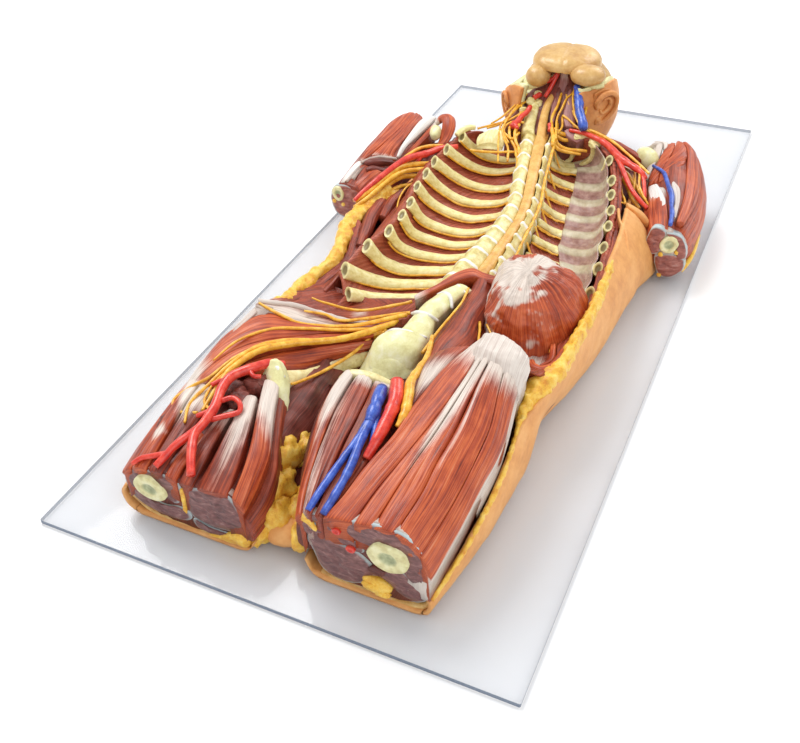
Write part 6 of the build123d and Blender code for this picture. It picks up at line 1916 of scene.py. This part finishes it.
piece("neck_arteries",
  [tube([(-24, 348, 149), (-15, 344, 147), (-18, 338, 139), (-28, 334, 132), (-40, 331, 129)],
      (2.6, 3.2, 3.2, 2.8, 2.4), seed=775),
    tube([(-14, 342, 144), (-18, 334, 133), (-21, 327, 124), (-25, 320, 115)], (3.2, 3.2, 3.2, 2.8),
      seed=776), tube([(-33, 322, 117), (-39, 312, 115)], (4.0, 3.6), seed=777),
    tube([(-37, 291, 111), (-38, 281, 107), (-43, 271, 103), (-45, 260, 100), (-50, 248, 96)],
      (3.4, 3.6, 4.0, 4.4, 4.6), seed=778),
    tube([(-52, 262, 96), (-46, 252, 98), (-40, 246, 96)], (3.4, 4.0, 3.2), seed=779),
    tube([(0, 268, 100), (3, 262, 98), (4, 256, 96)], (3.0, 3.4, 2.6), seed=780)], ARTERY)
piece("neck_nerves_right",
  [tube([(-50, 340, 120), (-56, 345, 114), (-57, 321, 109), (-60, 283, 101), (-67, 254, 95),
        (-60, 224, 90), (-41, 171, 80)], 1.5, seed=781, wobble=0.2),
    tube([(-46, 338, 118), (-58, 330, 110), (-58, 302, 107), (-61, 271, 101), (-61, 243, 95),
        (-52, 225, 89), (-39, 205, 85), (-31, 182, 78)], 1.7, seed=782, wobble=0.2),
    tube([(-46, 312, 110), (-53, 304, 107), (-59, 282, 103), (-63, 264, 97), (-72, 250, 94),
        (-84, 240, 92)], 1.5, seed=783),
    tube([(-40, 290, 106), (-50, 276, 102), (-62, 262, 97), (-78, 248, 95), (-96, 234, 92)], 1.5,
      seed=784),
    tube([(-44, 258, 100), (-53, 253, 96), (-47, 234, 89), (-32, 215, 83), (-25, 206, 80)], 2.0,
      seed=785),
    tube([(-41, 256, 98), (-42, 241, 93), (-35, 225, 88), (-24, 209, 83), (-15, 180, 75)], 2.2,
      seed=786), tube([(-64, 243, 92), (-50, 232, 90), (-41, 227, 89), (-36, 243, 92)], 1.8, seed=787),
    tube([(-86, 180, 86), (-71, 181, 86), (-50, 187, 86), (-37, 197, 84), (-26, 209, 80)], 1.8,
      seed=788),
    tube([(-36, 262, 99), (-52, 262, 98), (-60, 250, 94), (-56, 236, 90), (-44, 220, 86)], 1.6,
      seed=789),
    tube([(-54, 326, 112), (-64, 300, 104), (-72, 272, 98), (-82, 252, 94)], 1.4, seed=790),
    tube([(-58, 318, 110), (-52, 296, 106), (-48, 276, 102), (-50, 258, 97)], 1.4, seed=791)], NERVE)
piece("neck_nerves_left",
  [tube([(-4, 347, 127), (-3, 329, 121), (-1, 307, 112), (-1, 283, 104), (6, 260, 98), (14, 244, 94),
        (20, 222, 92)], (1.6, 1.8, 1.8, 2.0, 2.6, 3.2, 3.0), seed=801, wobble=0.25),
    tube([(4, 352, 130), (14, 329, 125), (9, 315, 120), (8, 296, 112), (7, 281, 105), (13, 258, 99),
        (20, 236, 95)], 1.6, seed=802),
    tube(
      [(3, 330, 122), (13, 311, 116), (23, 299, 110), (48, 268, 103), (66, 262, 101), (99, 242, 101)],
      1.5, seed=803),
    tube([(13, 287, 107), (24, 281, 105), (37, 270, 103), (46, 266, 101)], 1.6, seed=804),
    tube([(12, 288, 104), (18, 270, 98), (16, 254, 94)], 1.6, seed=805),
    tube([(30, 336, 128), (38, 322, 121), (42, 302, 115), (44, 290, 112)], 1.6, seed=806),
    tube([(13, 339, 131), (19, 311, 124), (33, 278, 115), (46, 261, 108)], 1.4, seed=807),
    tube([(8, 264, 96), (18, 262, 92), (28, 268, 88), (38, 272, 86)], (3.4, 3.2, 2.8, 2.0), seed=808),
    tube([(14, 250, 92), (22, 240, 86), (36, 240, 81), (54, 247, 79), (62, 250, 78)],
      (3.0, 2.8, 2.6, 2.2, 1.8), seed=809),
    tube([(14, 254, 92), (24, 256, 86), (34, 263, 83), (44, 266, 82)], (2.6, 2.6, 2.4, 2.0), seed=810),
    tube([(16, 236, 90), (26, 230, 84), (40, 234, 80), (56, 240, 77)], (2.6, 2.6, 2.2, 1.8), seed=811),
    tube([(-10, 356, 136), (-2, 350, 134), (8, 342, 132), (16, 330, 130), (20, 316, 126)], 1.6,
      seed=812)], NERVE)
piece("optic_nerves",
  [strap([(-30, 330, 150), (-24, 334, 149), (-16, 342, 148)], (4, 4.5, 4), (3, 3, 3), seed=815,
      swell=0.2),
    strap([(0, 340, 148), (8, 334, 151), (15, 328, 154)], (4, 4.5, 3.5), (3, 3, 3), seed=816, swell=0.2)],
  NERVE)
# first ribs' plates beside the neck
piece("clavicle_plate_right",
  [slab([[(-88, 222, 90), (-76, 234, 94), (-64, 238, 94), (-52, 236, 92)],
        [(-90, 216, 85), (-76, 224, 89), (-63, 226, 89), (-51, 224, 87)],
        [(-88, 210, 78), (-75, 215, 82), (-62, 217, 82), (-51, 215, 80)]], 4, seed=821, swell=0.1,
      lumps=0.5, edge=1.0)], RIB)
piece("first_rib_end_right",
  [strap([(-116, 204, 92), (-112, 214, 95), (-106, 224, 96), (-100, 232, 94)], (7, 9, 9, 7),
      (7, 8, 8, 7), seed=822, swell=0.3)], RIB)
piece("first_rib_ends_left",
  [lump((46, 266, 90), (9, 6, 5), rough_by=0.25, size=6, seed=823),
    lump((72, 252, 91), (9, 9, 6), rough_by=0.3, size=5, seed=824)], RIB)


# ---------------------------------------------------------------- stage, lights, camera


def stage():
    """Pale floor, soft lights and the camera."""
    scene = bpy.context.scene
    floor_mesh = bpy.data.meshes.new("floor")
    floor_mesh.from_pydata([(-9, -9, 0), (9, -9, 0), (9, 9, 0), (-9, 9, 0)], [], [(0, 1, 2, 3)])
    floor = bpy.data.objects.new("floor", floor_mesh)
    scene.collection.objects.link(floor)
    floor.location.z = -0.0005
    n = Nodes("floor_paper")
    colour = n.mix(n.noise(n.place(2.0)), (246, 246, 247), (250, 250, 250))
    floor_mesh.materials.append(n.finish(colour, 0.9, specular=0.1))
    world = bpy.data.worlds.new("studio")
    scene.world = world
    world.use_nodes = True
    world.node_tree.nodes["Background"].inputs[0].default_value = (1, 1, 1, 1)
    world.node_tree.nodes["Background"].inputs[1].default_value = 0.75
    for name, place, target, size, power in (
        ("key", (-1.2, 0.4, 2.2), (0, 0, 0), 1.2, 38),
        ("fill", (1.6, -1.2, 1.6), (0, 0, 0), 1.6, 12),
        ("back", (0.6, 2.0, 1.6), (0, 0.1, 0), 1.2, 16),
    ):
        light = bpy.data.lights.new(name, "AREA")
        light.energy = power
        light.size = size
        lamp = bpy.data.objects.new(name, light)
        scene.collection.objects.link(lamp)
        lamp.location = place
        lamp.rotation_euler = (Vector(target) - Vector(place)).to_track_quat("-Z", "Y").to_euler()
    scene.view_settings.view_transform = "Standard"
    camera_data = bpy.data.cameras.new("camera")
    camera_data.lens = 43.28
    camera_data.sensor_width = 36
    camera = bpy.data.objects.new("camera", camera_data)
    scene.collection.objects.link(camera)
    right = Vector((0.9068, 0.4202, -0.0329))
    up = Vector((-0.2472, 0.5935, 0.7659))
    back = Vector((0.3414, -0.6864, 0.6421))
    camera.matrix_world = Matrix.Translation((0.3606, -0.9675, 0.7151)) @ Matrix((right, up,
        back)).transposed().to_4x4()
    scene.camera = camera


stage()
